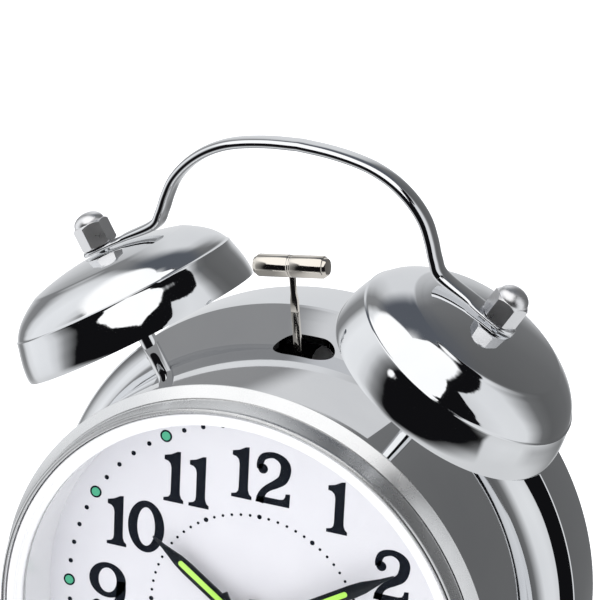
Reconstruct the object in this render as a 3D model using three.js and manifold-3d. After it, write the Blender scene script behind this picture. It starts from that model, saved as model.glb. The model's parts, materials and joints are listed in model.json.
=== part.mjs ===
// Twin-bell alarm clock, millimetres, Z up, X to the right seen from the front, Y into the clock.
// The origin is on the table, midway between the sides and between the bezel and the knobs.
import * as THREE from 'three';
import { mergeVertices } from 'three/addons/utils/BufferGeometryUtils.js';
import Module from 'manifold-3d';

const wasm = await Module();
wasm.setup();

// ---- case, radii about the dial axis and depths behind the dial face ----
const caseRadius = 52.0;
const caseWall = 1.2;
const flangeHeight = 6.5;
const flangeRise = 3.9;
const caseBackY = 39.8;
const bandWidth = 13.2;
const flareLength = 9.1;
const bandRound = 0.5;
const flangeRadius = caseRadius + flangeHeight;
const flangeRootRadius = caseRadius + flangeRise;
const flangeY = caseBackY - bandWidth;
const flareStartY = flangeY - flareLength;

// ---- where the clock stands ----
const standHeight = 12.3;
const dialHeight = flangeRadius + standHeight;
const dialDepth = -15.6;

// ---- front ring, rim, lens and dial ----
const slideFit = 0.15;
const spigotWall = 1.65;
const rimWidth = 2.85;
const bezelOverhang = 0.65;
const bezelStepWidth = 2.15;
const bezelLength = 7.0;
const bezelStepDepth = 4.4;
const bezelProud = 0.5;
const spigotLength = 4.0;
const rimSlope = 2.0;
const rimEdge = 0.5;
const lensThickness = 1.2;
const lensFrontY = -12.0;
const dialThickness = 0.8;
const rimFrontY = lensFrontY - rimSlope;
const bezelFrontY = rimFrontY - bezelProud;
const bezelStepY = bezelFrontY + bezelStepDepth;
const caseFrontY = bezelFrontY + bezelLength;
const spigotRadius = caseRadius - caseWall - slideFit;
const bezelBore = spigotRadius - spigotWall;
const rimOuter = bezelBore - slideFit;
const rimOpening = rimOuter - rimWidth;
const bezelRadius = caseRadius + bezelOverhang;
const bezelStepRadius = bezelRadius - bezelStepWidth;
const bezelLipRadius = bezelBore + slideFit;
const lampInset = 3.0;
const lampRadius = 1.4;
const lampFit = 0.2;
const lampZ = -(rimOpening - lampInset);

// ---- bells on axes that pass through the dial axis ----
const bellTilt = 31.6;
const bellStand = 10.2;
const bellAxisY = 12.1;
const bellRadius = 25.4;
const bellHeight = 17.4;
const bellWall = 1.1;
const bellLean = THREE.MathUtils.degToRad(bellTilt);
const bellX = (caseRadius + bellStand) * Math.sin(bellLean);
const bellRimZ = (caseRadius + bellStand) * Math.cos(bellLean);
const bellInnerX = bellX - bellRadius * Math.cos(bellLean);
const bellInnerZ = bellRimZ + bellRadius * Math.sin(bellLean);

// ---- posts and nuts ----
const postRadius = 1.75;
const studRadius = 1.4;
const studFit = 0.1;
const nutAcross = 6.6;
const nutHexHeight = 4.2;
const nutDomeHeight = 3.0;
const nutRoof = 0.6;
const nutFit = 0.02;
const postNutAcross = 7.0;
const postNutHeight = 2.6;
const postNutGap = 0.35;
const postEnd = 1.0;

// ---- handle ----
const handleWidth = 4.6;
const handleThickness = 2.2;
const handleRise = 23.85;
const tabWidth = 6.0;
const tabThickness = 1.2;
const tabInner = 9.0;
const tabOuter = 4.2;
const tabOverlap = 1.2;

// ---- movement box ----
const moveWidth = 50.0;
const moveHeight = 40.0;
const movePlate = 1.4;
const moveBackY = 17.0;
const moveWall = 1.2;

// ---- hammer, its head level with the near edges of the bells ----
const hammerGap = 1.9;
const hammerY = moveBackY + hammerGap;
const pivotDepth = 8.0;
const hammerPivotZ = caseRadius - pivotDepth;
const headRise = 3.15;
const hammerReach = bellInnerZ + headRise - hammerPivotZ;
const hammerTail = 9.0;
const hammerLean = -7.7;
const headRadius = 2.3;
const headGap = 3.0;
const headLength = 2 * (bellInnerX - headGap);
const armWidth = 1.6;
const armThickness = 0.9;
const eyeRadius = 2.4;
const armatureWidth = 6.0;
const armatureHeight = 4.0;
const pinRadius = 0.9;
const pinFit = 0.1;
const pinHeadRadius = 1.7;
const bracketWidth = 14.0;
const bracketThickness = 1.4;
const coilX = 11.0;
const coilRadius = 3.6;
const coilCoreRadius = 1.6;
const coilLength = 9.0;
const slotLength = 12.8;
const slotWidth = 8.2;
const slotOffset = 0.3;
const slotY = hammerY + slotOffset;

// ---- dial train ----
const wheelModule = 0.6;
const cannonTeeth = 10;
const minuteTeeth = 30;
const minutePinionTeeth = 8;
const hourTeeth = 32;
const alarmTeeth = 40;
const alarmModule = 0.72;
const keyTeeth = 10;
const secondTeeth = 24;
const secondModule = 0.75;
const pipeFit = 0.15;
const meshSlack = 0.12;
const secondArborRadius = 0.6;
const pipeWall = 0.85;
const cannonPipeRadius = secondArborRadius + pipeFit + pipeWall;
const hourPipeRadius = cannonPipeRadius + pipeFit + 0.75;
const alarmNoseStep = 0.5;
const alarmPipeRadius = hourPipeRadius + pipeFit + 1.05;
const handPitch = 1.4;
const alarmHandY = -1.6;
const hourHandY = alarmHandY - handPitch;
const minuteHandY = hourHandY - handPitch;
const secondHandY = minuteHandY - handPitch;
const handThickness = 0.45;
const handPoint = 7.0;
const hourHandLength = 26.5;
const minuteHandLength = 35.5;
const secondHandLength = 36.0;
const alarmHandLength = 20.0;
const hourHandAngle = -55.1;
const minuteHandAngle = 58.5;
const secondHandAngle = 150.0;
const alarmHandAngle = 180.0;
const wheelThickness = 1.0;
const wheelGap = 1.0;
const alarmWheelY = dialThickness + movePlate + wheelGap;
const hourWheelY = alarmWheelY + wheelThickness + wheelGap;
const cannonWheelY = hourWheelY + wheelThickness + wheelGap + 0.2;
const secondWheelY = cannonWheelY + 3.2;
const pinionLength = 1.8;
const wheelArborRadius = 0.8;
const arborReach = 0.8;

// ---- battery bay ----
const cellRadius = 7.1;
const cellLength = 50.0;
const cellNose = 1.4;
const cellGap = 0.3;
const cellFit = 0.45;
const bayWall = 1.2;
const contactRoom = 2.3;
const contactSheet = 0.4;
const contactHalf = 5.0;
const doorThickness = 1.6;
const doorFit = 0.4;
const doorGap = 0.4;
const bedGap = 0.4;
const bayWidth = cellLength + 2 * (contactRoom + bayWall);
const bayHeight = 4 * cellRadius + cellGap + 2 * (cellFit + bayWall);
const bayDepth = doorThickness + doorGap + 2 * cellRadius + bedGap + bayWall;
const bayZ = -21.5;

// ---- back cover, knobs, switch and light button ----
const coverFit = 0.4;
const coverInset = 3.2;
const coverThickness = 2.0;
const coverRadius = flangeRadius - caseWall - coverFit;
const coverY = caseBackY - coverInset;
const backFace = coverY + coverThickness;
const knobRadius = 7.0;
const knobLength = 6.5;
const knobGap = 0.6;
const knobRoof = 2.0;
const skirtHeight = 1.2;
const skirtOverhang = 0.8;
const keyRadius = 1.2;
const keyFit = 0.3;
const switchX = 0.0;
const switchZ = 30.0;
const stemWidth = 3.0;
const stemHeight = 2.0;
const switchTravel = 7.0;
const switchFit = 0.3;
const buttonX = 0.0;
const buttonZ = 43.0;
const buttonRadius = 3.7;
const buttonFit = 0.3;
const buttonFlange = 1.1;
const coverScrewInset = 12.9;
const lowerScrewInset = 8.9;
const screwHeadRadius = 2.6;
const screwRadius = 1.2;
const screwFit = 0.3;

// ---- feet ----
const footAngle = 26.0;
const footY = 3.0;
const footTopRadius = 4.4;
const footEndRadius = 3.0;
const footStudRadius = 2.0;
const tipHeight = 3.0;
const rearFootInset = 5.8;
const rearFootY = caseBackY - rearFootInset;
const rearFootRadius = 3.6;
const rearScrewRadius = 1.5;
const seatGap = 0.02;

const roundSegments = 40;
const smallSegments = 12;
const bellSegments = 28;

// ---------- materials ----------
function material(color, roughness, metalness) {
  return new THREE.MeshStandardMaterial({ color, roughness, metalness });
}
const chrome = material(0xd9dbde, 0.08, 1.0);
const nickel = material(0xd8d2c6, 0.18, 1.0);
const steel = material(0xb4b7ba, 0.35, 1.0);
const brass = material(0xc8a455, 0.3, 1.0);
const whitePlastic = material(0xf1f2f3, 0.4, 0.0);
const dialWhite = material(0xf4f5f8, 0.55, 0.0);
const handBlack = material(0x14171a, 0.35, 0.0);
const lume = material(0xbdf76a, 0.6, 0.0);
const handSilver = material(0xc6c9cc, 0.3, 1.0);
const lensClear = material(0xeef3f5, 0.05, 0.0);
const blackPlastic = material(0x1b1c1e, 0.5, 0.0);
const creamPlastic = material(0xe5e2d6, 0.5, 0.0);
const rubber = material(0x202122, 0.85, 0.0);
const cellSleeve = material(0x3a4a55, 0.4, 0.1);
const boardGreen = material(0x2c6a45, 0.5, 0.0);
const copper = material(0xb56a3a, 0.35, 1.0);
const lampClear = material(0xe9f0f4, 0.15, 0.0);

// ---------- solids ----------
function asMesh(geometry) {
  const bare = new THREE.BufferGeometry();
  bare.setAttribute('position', geometry.getAttribute('position').clone());
  if (geometry.index) {
    bare.setIndex(geometry.index.clone());
  }
  const merged = mergeVertices(bare, 1e-4);
  const source = merged.index.array;
  const kept = [];
  for (let i = 0; i < source.length; i += 3) {
    const [a, b, c] = [source[i], source[i + 1], source[i + 2]];
    if (a !== b && b !== c && a !== c) {
      kept.push(a, b, c);
    }
  }
  merged.setIndex(kept);
  return merged;
}

function signedVolume(geometry) {
  const points = geometry.getAttribute('position').array;
  const index = geometry.index.array;
  const corner = [new THREE.Vector3(), new THREE.Vector3(), new THREE.Vector3()];
  let total = 0;
  for (let i = 0; i < index.length; i += 3) {
    for (let k = 0; k < 3; k += 1) {
      corner[k].fromArray(points, index[i + k] * 3);
    }
    total += corner[0].dot(corner[1].clone().cross(corner[2])) / 6;
  }
  return total;
}

function solid(geometry) {
  const merged = asMesh(geometry);
  if (signedVolume(merged) < 0) {
    const index = merged.index.array;
    for (let i = 0; i < index.length; i += 3) {
      [index[i], index[i + 1]] = [index[i + 1], index[i]];
    }
  }
  return new wasm.Manifold(new wasm.Mesh({
    numProp: 3,
    vertProperties: Float32Array.from(merged.getAttribute('position').array),
    triVerts: Uint32Array.from(merged.index.array),
  }));
}

function joined(first, ...others) {
  return others.reduce((whole, piece) => whole.add(piece), first);
}

function cutBy(first, ...tools) {
  return tools.reduce((whole, tool) => whole.subtract(tool), first);
}

// ---------- basic shapes, depth measured behind the dial face ----------
const toClock = new THREE.Matrix4().makeTranslation(0, dialDepth, dialHeight);

function moved(geometry, x, y, z) {
  return geometry.applyMatrix4(new THREE.Matrix4().makeTranslation(x, y, z));
}

// Turns a shape's own Y onto an axis that lies in the X and Z plane.
function laidAlong(axis, geometry) {
  const across = new THREE.Vector3(axis.z, 0, -axis.x);
  const depth = new THREE.Vector3().crossVectors(across, axis);
  return geometry.applyMatrix4(new THREE.Matrix4().makeBasis(across, axis, depth));
}

function ring(profile, segments = roundSegments) {
  const points = profile.map(([radius, depth]) => new THREE.Vector2(radius, depth));
  points.push(points[0].clone());
  return new THREE.LatheGeometry(points, segments);
}

function turned(profile, segments = smallSegments) {
  return new THREE.LatheGeometry(profile.map(([r, y]) => new THREE.Vector2(r, y)), segments);
}

function rodY(radius, fromY, toY, x = 0, z = 0, segments = smallSegments) {
  const rod = new THREE.CylinderGeometry(radius, radius, toY - fromY, segments);
  return moved(rod, x, (fromY + toY) / 2, z);
}

function rodX(radius, fromX, toX, y, z, segments = smallSegments) {
  const rod = new THREE.CylinderGeometry(radius, radius, toX - fromX, segments);
  rod.rotateZ(Math.PI / 2);
  return moved(rod, (fromX + toX) / 2, y, z);
}

function block(x0, x1, y0, y1, z0, z1) {
  const box = new THREE.BoxGeometry(x1 - x0, y1 - y0, z1 - z0);
  return moved(box, (x0 + x1) / 2, (y0 + y1) / 2, (z0 + z1) / 2);
}

// A flat outline in X and Z given a thickness along Y.
function plateXZ(outline, fromY, toY) {
  const shape = new THREE.Shape(outline.map(([x, z]) => new THREE.Vector2(x, z)));
  const plate = new THREE.ExtrudeGeometry(shape, { depth: toY - fromY, bevelEnabled: false });
  plate.rotateX(Math.PI / 2);
  return moved(plate, 0, toY, 0);
}

function hexRod(across, height) {
  return new THREE.CylinderGeometry(across / Math.sqrt(3), across / Math.sqrt(3), height, 6);
}

// ---------- toothed wheels ----------
function toothedOutline(teeth, size, firstTooth) {
  const outline = [];
  const pitch = (teeth * size) / 2;
  const root = pitch - 1.1 * size;
  const tip = pitch + 0.8 * size;
  const step = (2 * Math.PI) / teeth;
  for (let i = 0; i < teeth; i += 1) {
    const middle = firstTooth + i * step;
    const corners = [[root, -0.26], [tip, -0.11], [tip, 0.11], [root, 0.26]];
    for (const [radius, offset] of corners) {
      const angle = middle + offset * step;
      outline.push([radius * Math.cos(angle), radius * Math.sin(angle)]);
    }
  }
  return outline;
}

function wheel(teeth, size, firstTooth, fromY, toY, x = 0, z = 0) {
  return moved(plateXZ(toothedOutline(teeth, size, firstTooth), fromY, toY), x, 0, z);
}

// Direction of a point seen from another one, in the X and Z plane.
function bearing(from, to) {
  return Math.atan2(to[1] - from[1], to[0] - from[0]);
}

const trainCentre = [0, 0];
const minuteDistance = ((cannonTeeth + minuteTeeth) * wheelModule) / 2 + meshSlack;
const keyDistance = ((keyTeeth + minuteTeeth) * wheelModule) / 2 + meshSlack;
const alarmDistance = ((keyTeeth + alarmTeeth) * alarmModule) / 2 + meshSlack;
const minuteBearing = THREE.MathUtils.degToRad(188);
const keyBearing = THREE.MathUtils.degToRad(126);
const alarmBearing = THREE.MathUtils.degToRad(25);
const minuteCentre = [minuteDistance * Math.cos(minuteBearing), minuteDistance * Math.sin(minuteBearing)];
const timeCentre = [
  minuteCentre[0] + keyDistance * Math.cos(keyBearing),
  minuteCentre[1] + keyDistance * Math.sin(keyBearing),
];
const alarmCentre = [alarmDistance * Math.cos(alarmBearing), alarmDistance * Math.sin(alarmBearing)];

// Angle of the first tooth of a wheel whose gap faces a given direction.
function gapFacing(teeth, direction) {
  return direction + Math.PI / teeth;
}

// ---------- case ----------
function caseShell() {
  const inner = caseRadius - caseWall;
  const bandInner = flangeRadius - caseWall;
  const shell = solid(ring([
    [inner, caseFrontY],
    [caseRadius, caseFrontY],
    [caseRadius, flareStartY],
    [caseRadius + 0.8, flareStartY + 3.8],
    [caseRadius + 2.2, flareStartY + 6.8],
    [flangeRootRadius, flangeY - 0.6],
    [flangeRadius - bandRound, flangeY],
    [flangeRadius, flangeY + bandRound],
    [flangeRadius, caseBackY - bandRound],
    [flangeRadius - bandRound, caseBackY],
    [bandInner, caseBackY],
    [bandInner, flangeY + caseWall],
    [flangeRootRadius - 1.0, flangeY + caseWall - 0.6],
    [inner + 0.9, flareStartY + 5.2],
    [inner, flareStartY],
  ]));
  const holes = [hammerSlot(), rearFootHole()];
  for (const side of [-1, 1]) {
    holes.push(solid(alongBell(side, rodY(postRadius + studFit, -20, -6))));
    holes.push(solid(alongFoot(side, rodY(footStudRadius + studFit, caseRadius - 12, caseRadius + 4))));
  }
  return cutBy(shell, ...holes);
}

function hammerSlot() {
  const half = slotLength / 2 - slotWidth / 2;
  const shape = new THREE.Shape();
  shape.absarc(half, 0, slotWidth / 2, -Math.PI / 2, Math.PI / 2, false);
  shape.absarc(-half, 0, slotWidth / 2, Math.PI / 2, 1.5 * Math.PI, false);
  const tool = new THREE.ExtrudeGeometry(shape, { depth: 20, bevelEnabled: false, curveSegments: 10 });
  return solid(moved(tool, 0, slotY, caseRadius - 10));
}

function rearFootHole() {
  const bore = rearScrewRadius + studFit;
  const hole = new THREE.CylinderGeometry(bore, bore, 10, smallSegments);
  hole.rotateX(Math.PI / 2);
  return solid(moved(hole, 0, rearFootY, -flangeRadius));
}

// ---------- front ----------
function frontBezel() {
  return solid(ring([
    [bezelBore, rimFrontY],
    [bezelLipRadius, bezelFrontY + 0.15],
    [bezelLipRadius + 0.4, bezelFrontY],
    [bezelLipRadius + 0.9, bezelFrontY + 0.5],
    [bezelStepRadius, bezelStepY],
    [bezelRadius - 0.5, caseFrontY - 1.1],
    [bezelRadius, caseFrontY - 0.5],
    [bezelRadius, caseFrontY],
    [spigotRadius, caseFrontY],
    [spigotRadius, caseFrontY + spigotLength],
    [bezelBore, caseFrontY + spigotLength],
  ]));
}

function rimRing() {
  return solid(ring([
    [rimOpening, lensFrontY],
    [rimOpening, lensFrontY - rimEdge],
    [rimOuter, rimFrontY],
    [rimOuter, lensFrontY],
  ]));
}

function frontLens() {
  return solid(rodY(rimOuter - slideFit, lensFrontY, lensFrontY + lensThickness, 0, 0, roundSegments));
}

function dialWall() {
  return solid(ring([
    [rimOpening, lensFrontY + lensThickness],
    [rimOuter - slideFit, lensFrontY + lensThickness],
    [rimOuter - slideFit, 0],
    [rimOpening, 0],
  ]));
}

function dialPlate() {
  const disc = solid(rodY(rimOuter - slideFit, 0, dialThickness, 0, 0, roundSegments));
  const holes = [rodY(alarmPipeRadius + pipeFit, -1, 2), rodY(lampRadius + lampFit, -1, 2, 0, lampZ)];
  return cutBy(disc, ...holes.map(solid));
}

function dialLamp() {
  const bulb = [[0, -1.2], [0.9, -0.8], [lampRadius - 0.1, 0.0], [lampRadius, 3.0], [0, 3.0]];
  return solid(moved(turned(bulb, 16), 0, 0, lampZ));
}

// ---------- hands ----------
// Outlines run along +Z from the arbor, then turn to the time shown.
function handTurn(degrees) {
  return new THREE.Matrix4().makeRotationY(THREE.MathUtils.degToRad(degrees));
}

function taperedHand(length, width, tail, bossRadius, boreRadius, atY, degrees, window) {
  const outline = [
    [-width * 0.4, -tail],
    [width * 0.4, -tail],
    [width * 0.5, length * 0.25],
    [width * 0.44, length - handPoint],
    [width * 0.18, length - handPoint * 0.5],
    [0.12, length],
    [-0.12, length],
    [-width * 0.18, length - handPoint * 0.5],
    [-width * 0.44, length - handPoint],
    [-width * 0.5, length * 0.25],
  ];
  const blade = plateXZ(outline, atY, atY + handThickness).applyMatrix4(handTurn(degrees));
  const boss = rodY(bossRadius, atY, atY + handThickness);
  const tools = [solid(rodY(boreRadius, atY - 1, atY + 2))];
  if (window) {
    tools.push(solid(handWindow(window, 0, atY - 1, atY + 2, degrees)));
  }
  return cutBy(joined(solid(blade), solid(boss)), ...tools);
}

function handWindow(window, shrink, fromY, toY, degrees) {
  const [half, start, end] = window;
  const inset = half - shrink;
  const outline = [
    [-inset, start + shrink],
    [inset, start + shrink],
    [inset * 0.72, end - shrink],
    [-inset * 0.72, end - shrink],
  ];
  return plateXZ(outline, fromY, toY).applyMatrix4(handTurn(degrees));
}

const hourWindow = [0.62, 6.5, hourHandLength * 0.74];
const minuteWindow = [0.62, 8.0, minuteHandLength * 0.7];

function hourHand() {
  return taperedHand(hourHandLength, 3.0, 3.5, 4.0, hourPipeRadius, hourHandY, hourHandAngle, hourWindow);
}

function minuteHand() {
  return taperedHand(minuteHandLength, 2.8, 5.0, 3.2, cannonPipeRadius, minuteHandY, minuteHandAngle,
    minuteWindow);
}

function lumeStrip(window, atY, degrees) {
  return solid(handWindow(window, 0.02, atY + 0.05, atY + handThickness, degrees));
}

function secondHand() {
  const outline = [[-0.7, -9.0], [0.7, -9.0], [0.35, 0], [0.18, secondHandLength], [-0.18, secondHandLength],
    [-0.35, 0]];
  const flat = plateXZ(outline, secondHandY, secondHandY + 0.35);
  const blade = solid(flat.applyMatrix4(handTurn(secondHandAngle)));
  const boss = solid(rodY(1.8, secondHandY, secondHandY + 0.6));
  return cutBy(joined(blade, boss), solid(rodY(secondArborRadius, secondHandY + 0.2, secondHandY + 2)));
}

function alarmHand() {
  return taperedHand(alarmHandLength, 1.8, 5.5, 4.6, alarmPipeRadius - alarmNoseStep, alarmHandY,
    alarmHandAngle, null);
}

// ---------- motion work ----------
function alarmWheel() {
  const gear = solid(wheel(alarmTeeth, alarmModule, gapFacing(alarmTeeth, alarmBearing), alarmWheelY,
    alarmWheelY + wheelThickness));
  const pipe = solid(rodY(alarmPipeRadius, alarmHandY + handThickness, alarmWheelY + 0.5));
  const nose = solid(rodY(alarmPipeRadius - alarmNoseStep, alarmHandY, alarmWheelY));
  const bore = solid(rodY(hourPipeRadius + pipeFit, -9, 9));
  return cutBy(joined(gear, pipe, nose), bore);
}

function hourWheel() {
  const gear = solid(wheel(hourTeeth, wheelModule, gapFacing(hourTeeth, minuteBearing), hourWheelY,
    hourWheelY + wheelThickness));
  const pipe = solid(rodY(hourPipeRadius, hourHandY, hourWheelY + 0.5));
  return cutBy(joined(gear, pipe), solid(rodY(cannonPipeRadius + pipeFit, -9, 9)));
}

function cannonPinion() {
  const gear = solid(wheel(cannonTeeth, wheelModule, minuteBearing, cannonWheelY, cannonWheelY + 1.6));
  const pipe = solid(rodY(cannonPipeRadius, minuteHandY, cannonWheelY + 1));
  return cutBy(joined(gear, pipe), solid(rodY(secondArborRadius + pipeFit, -9, 12)));
}

function minuteWheel() {
  const toCannon = bearing(minuteCentre, trainCentre);
  const [x, z] = minuteCentre;
  const gear = solid(wheel(minuteTeeth, wheelModule, gapFacing(minuteTeeth, toCannon), cannonWheelY + 0.3,
    cannonWheelY + 0.3 + wheelThickness, x, z));
  const pinion = solid(wheel(minutePinionTeeth, wheelModule, toCannon, hourWheelY - 0.2,
    cannonWheelY + 0.5, x, z));
  const arbor = solid(rodY(wheelArborRadius, cannonWheelY, moveBackY - moveWall + arborReach, x, z));
  return joined(gear, pinion, arbor);
}

function secondArbor() {
  const gear = solid(wheel(secondTeeth, secondModule, 0, secondWheelY, secondWheelY + 0.8));
  const arbor = solid(rodY(secondArborRadius, secondHandY + 0.2, moveBackY - moveWall + arborReach));
  return joined(gear, arbor);
}

// A pinion on a long spindle that ends inside its knob behind the back cover.
function settingKey(centre, pinionY, size, mate, mateTeeth, mateFirstTooth) {
  const [x, z] = centre;
  const fromMate = bearing(mate, centre);
  const mateStep = (2 * Math.PI) / mateTeeth;
  const phase = (fromMate - mateFirstTooth) / mateStep;
  const offset = (phase - Math.round(phase)) * mateStep;
  const keyStep = (2 * Math.PI) / keyTeeth;
  const firstTooth = bearing(centre, mate) + keyStep / 2 + (offset * mateTeeth) / keyTeeth;
  const pinion = solid(wheel(keyTeeth, size, firstTooth, pinionY, pinionY + pinionLength, x, z));
  const shaft = solid(rodY(keyRadius, pinionY + 0.5, keyEndY(), x, z));
  return joined(pinion, shaft);
}

function keyEndY() {
  return backFace + knobGap + knobLength - knobRoof;
}

function timeKey() {
  const toCannon = bearing(minuteCentre, trainCentre);
  return settingKey(timeCentre, cannonWheelY - 0.1, wheelModule, minuteCentre, minuteTeeth,
    gapFacing(minuteTeeth, toCannon));
}

function alarmKey() {
  return settingKey(alarmCentre, alarmWheelY - 0.4, alarmModule, trainCentre, alarmTeeth,
    gapFacing(alarmTeeth, alarmBearing));
}

function knob(centre) {
  const [x, z] = centre;
  const start = backFace + knobGap;
  const flutes = 14;
  const outline = [];
  for (let i = 0; i < flutes * 2; i += 1) {
    const angle = (i * Math.PI) / flutes;
    const radius = i % 2 === 0 ? knobRadius : knobRadius - 0.5;
    outline.push([radius * Math.cos(angle), radius * Math.sin(angle)]);
  }
  const grip = solid(moved(plateXZ(outline, start + skirtHeight, start + knobLength), x, 0, z));
  const skirt = solid(rodY(knobRadius + skirtOverhang, start, start + skirtHeight, x, z, 28));
  return cutBy(joined(grip, skirt), solid(rodY(keyRadius, start - 1, keyEndY(), x, z)));
}

// ---------- movement ----------
function movementBase() {
  const halfX = moveWidth / 2;
  const halfZ = moveHeight / 2;
  const plate = solid(block(-halfX, halfX, dialThickness, dialThickness + movePlate, -halfZ, halfZ));
  return cutBy(plate, solid(rodY(alarmPipeRadius + pipeFit, -1, 4)));
}

function movementCover() {
  const halfX = moveWidth / 2;
  const halfZ = moveHeight / 2;
  const start = dialThickness + movePlate;
  const outer = solid(block(-halfX, halfX, start, moveBackY, -halfZ, halfZ));
  const room = solid(block(-halfX + moveWall, halfX - moveWall, start - 1, moveBackY - moveWall,
    -halfZ + moveWall, halfZ - moveWall));
  const holes = [
    solid(rodY(keyRadius + pipeFit, moveBackY - 5, moveBackY + 3, ...timeCentre)),
    solid(rodY(keyRadius + pipeFit, moveBackY - 5, moveBackY + 3, ...alarmCentre)),
    solid(rodY(wheelArborRadius + pipeFit, moveBackY - 5, moveBackY + 3, ...minuteCentre)),
    solid(rodY(secondArborRadius + pipeFit, moveBackY - 5, moveBackY + 3)),
  ];
  return cutBy(outer, room, ...holes);
}

function stepCoil() {
  const [x0, x1] = [5.0, 21.0];
  const [y, z] = [moveBackY - moveWall - 3.0, -12.5];
  const bobbin = joined(solid(rodX(3.0, x0, x0 + 1, y, z)), solid(rodX(3.0, x1 - 1, x1, y, z)),
    solid(rodX(2.5, x0 + 0.5, x1 - 0.5, y, z)));
  return bobbin;
}

function circuitBoard() {
  const back = moveBackY - moveWall;
  return solid(block(-20.0, -2.0, back - 1.0, back, -17.5, -9.0));
}

// ---------- hammer ----------
// Made upright above the pivot, then leaned about the pivot pin.
function leaned(geometry) {
  geometry.applyMatrix4(new THREE.Matrix4().makeRotationY(THREE.MathUtils.degToRad(hammerLean)));
  return moved(geometry, 0, hammerY, hammerPivotZ);
}

function hammerArm() {
  const half = armThickness / 2;
  const strip = solid(leaned(block(-armWidth / 2, armWidth / 2, -half, half, -hammerTail,
    hammerReach - headRadius + 0.2)));
  const eye = solid(leaned(rodY(eyeRadius, -half, half)));
  const armature = solid(leaned(block(-armatureWidth / 3, (armatureWidth * 2) / 3, -half, half,
    -hammerTail + 1.0 - armatureHeight, -hammerTail + 1.0)));
  return cutBy(joined(strip, eye, armature), solid(leaned(rodY(pinRadius + pinFit, -5, 5))));
}

function hammerHead() {
  const half = headLength / 2;
  const profile = [
    [0, -half], [headRadius * 0.6, -half + 0.3], [headRadius, -half + 1.3],
    [headRadius, half - 1.3], [headRadius * 0.6, half - 0.3], [0, half],
  ];
  const bar = turned(profile, 20);
  bar.rotateZ(Math.PI / 2);
  const across = armWidth / 2 + seatGap;
  const deep = armThickness / 2 + seatGap;
  const seat = block(-across, across, -deep, deep, -headRadius - 1, -headRadius + 0.2 + seatGap);
  return cutBy(solid(leaned(moved(bar, 0, 0, hammerReach))), solid(leaned(moved(seat, 0, 0, hammerReach))));
}

function hammerBracket() {
  const back = bracketBack();
  const front = back - bracketThickness;
  const foot = moveHeight / 2;
  const half = bracketWidth / 2;
  const post = solid(block(-half, half, front, back, foot, hammerPivotZ + 3.5));
  const coilArm = solid(block(half - 0.1, coilX + 2.5, front, back, coilZ() - 6.5, coilZ() + 3.5));
  return cutBy(joined(post, coilArm), solid(rodY(pinRadius, front - 5, back + 5, 0, hammerPivotZ)));
}

// Depth of the bracket's rear face.
function bracketBack() {
  return moveBackY - 0.6;
}

function coilZ() {
  return hammerPivotZ - hammerTail - 1.5;
}

function hammerPin() {
  const end = hammerY + 2.2;
  const shaft = solid(rodY(pinRadius, bracketBack() - bracketThickness, end, 0, hammerPivotZ));
  const head = solid(rodY(pinHeadRadius, end - 1.0, end, 0, hammerPivotZ));
  const collar = solid(rodY(pinHeadRadius, bracketBack(), hammerY - armThickness / 2 - 0.2, 0, hammerPivotZ));
  return joined(shaft, head, collar);
}

function hammerCoil() {
  const start = bracketBack();
  const core = solid(rodY(coilCoreRadius, start, start + coilLength, coilX, coilZ()));
  const winding = solid(rodY(coilRadius, start + 1.0, start + coilLength - 1.0, coilX, coilZ()));
  return joined(core, winding);
}

// ---------- bells ----------
// Shapes drawn along +Y from the rim plane, then laid on a bell's own axis.
function alongBell(side, geometry) {
  const axis = new THREE.Vector3(side * Math.sin(bellLean), 0, Math.cos(bellLean));
  return moved(laidAlong(axis, geometry), side * bellX, bellAxisY, bellRimZ);
}

const bellOutside = [[1.0, 0.0], [1.005, 0.15], [0.975, 0.38], [0.935, 0.52], [0.85, 0.67],
  [0.7, 0.82], [0.46, 0.925], [0.17, 1.0]];

function bell(side) {
  const outside = bellOutside.map(([r, h]) => [r * bellRadius, h * bellHeight]);
  const inside = outside.map(([r, h]) => {
    const share = h / bellHeight;
    return [r - bellWall * (1.05 - 0.75 * share * share), h - bellWall * share];
  });
  inside[0] = [bellRadius - bellWall, 0];
  const hole = studRadius + studFit;
  const top = bellHeight;
  const profile = [...outside, [hole, top], [hole, top - bellWall], ...inside.reverse()];
  return solid(alongBell(side, ring(profile, bellSegments)));
}

function bellPost(side) {
  const inner = bellHeight - bellWall;
  const nutBottom = -postSeat() - postNutHeight - postEnd;
  const top = bellHeight + tabThickness + nutHexHeight - nutRoof;
  return solid(alongBell(side, turned([
    [0, nutBottom],
    [postRadius - 0.2, nutBottom],
    [postRadius, nutBottom + 0.2],
    [postRadius, -4.0],
    [postRadius, inner],
    [studRadius, inner],
    [studRadius, top],
    [0, top],
  ])));
}

// Distance below the rim plane where the post nut meets the inside of the case.
function postSeat() {
  const inside = caseRadius - caseWall;
  const corner = postNutAcross / 2;
  return caseRadius + bellStand - Math.sqrt(inside * inside - corner * corner) + postNutGap;
}

function postNut(side) {
  const nut = hexRod(postNutAcross, postNutHeight);
  const seat = postSeat();
  const bore = rodY(postRadius + nutFit, -seat - 20, 0);
  return cutBy(solid(alongBell(side, moved(nut, 0, -seat - postNutHeight / 2, 0))),
    solid(alongBell(side, bore)));
}

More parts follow.
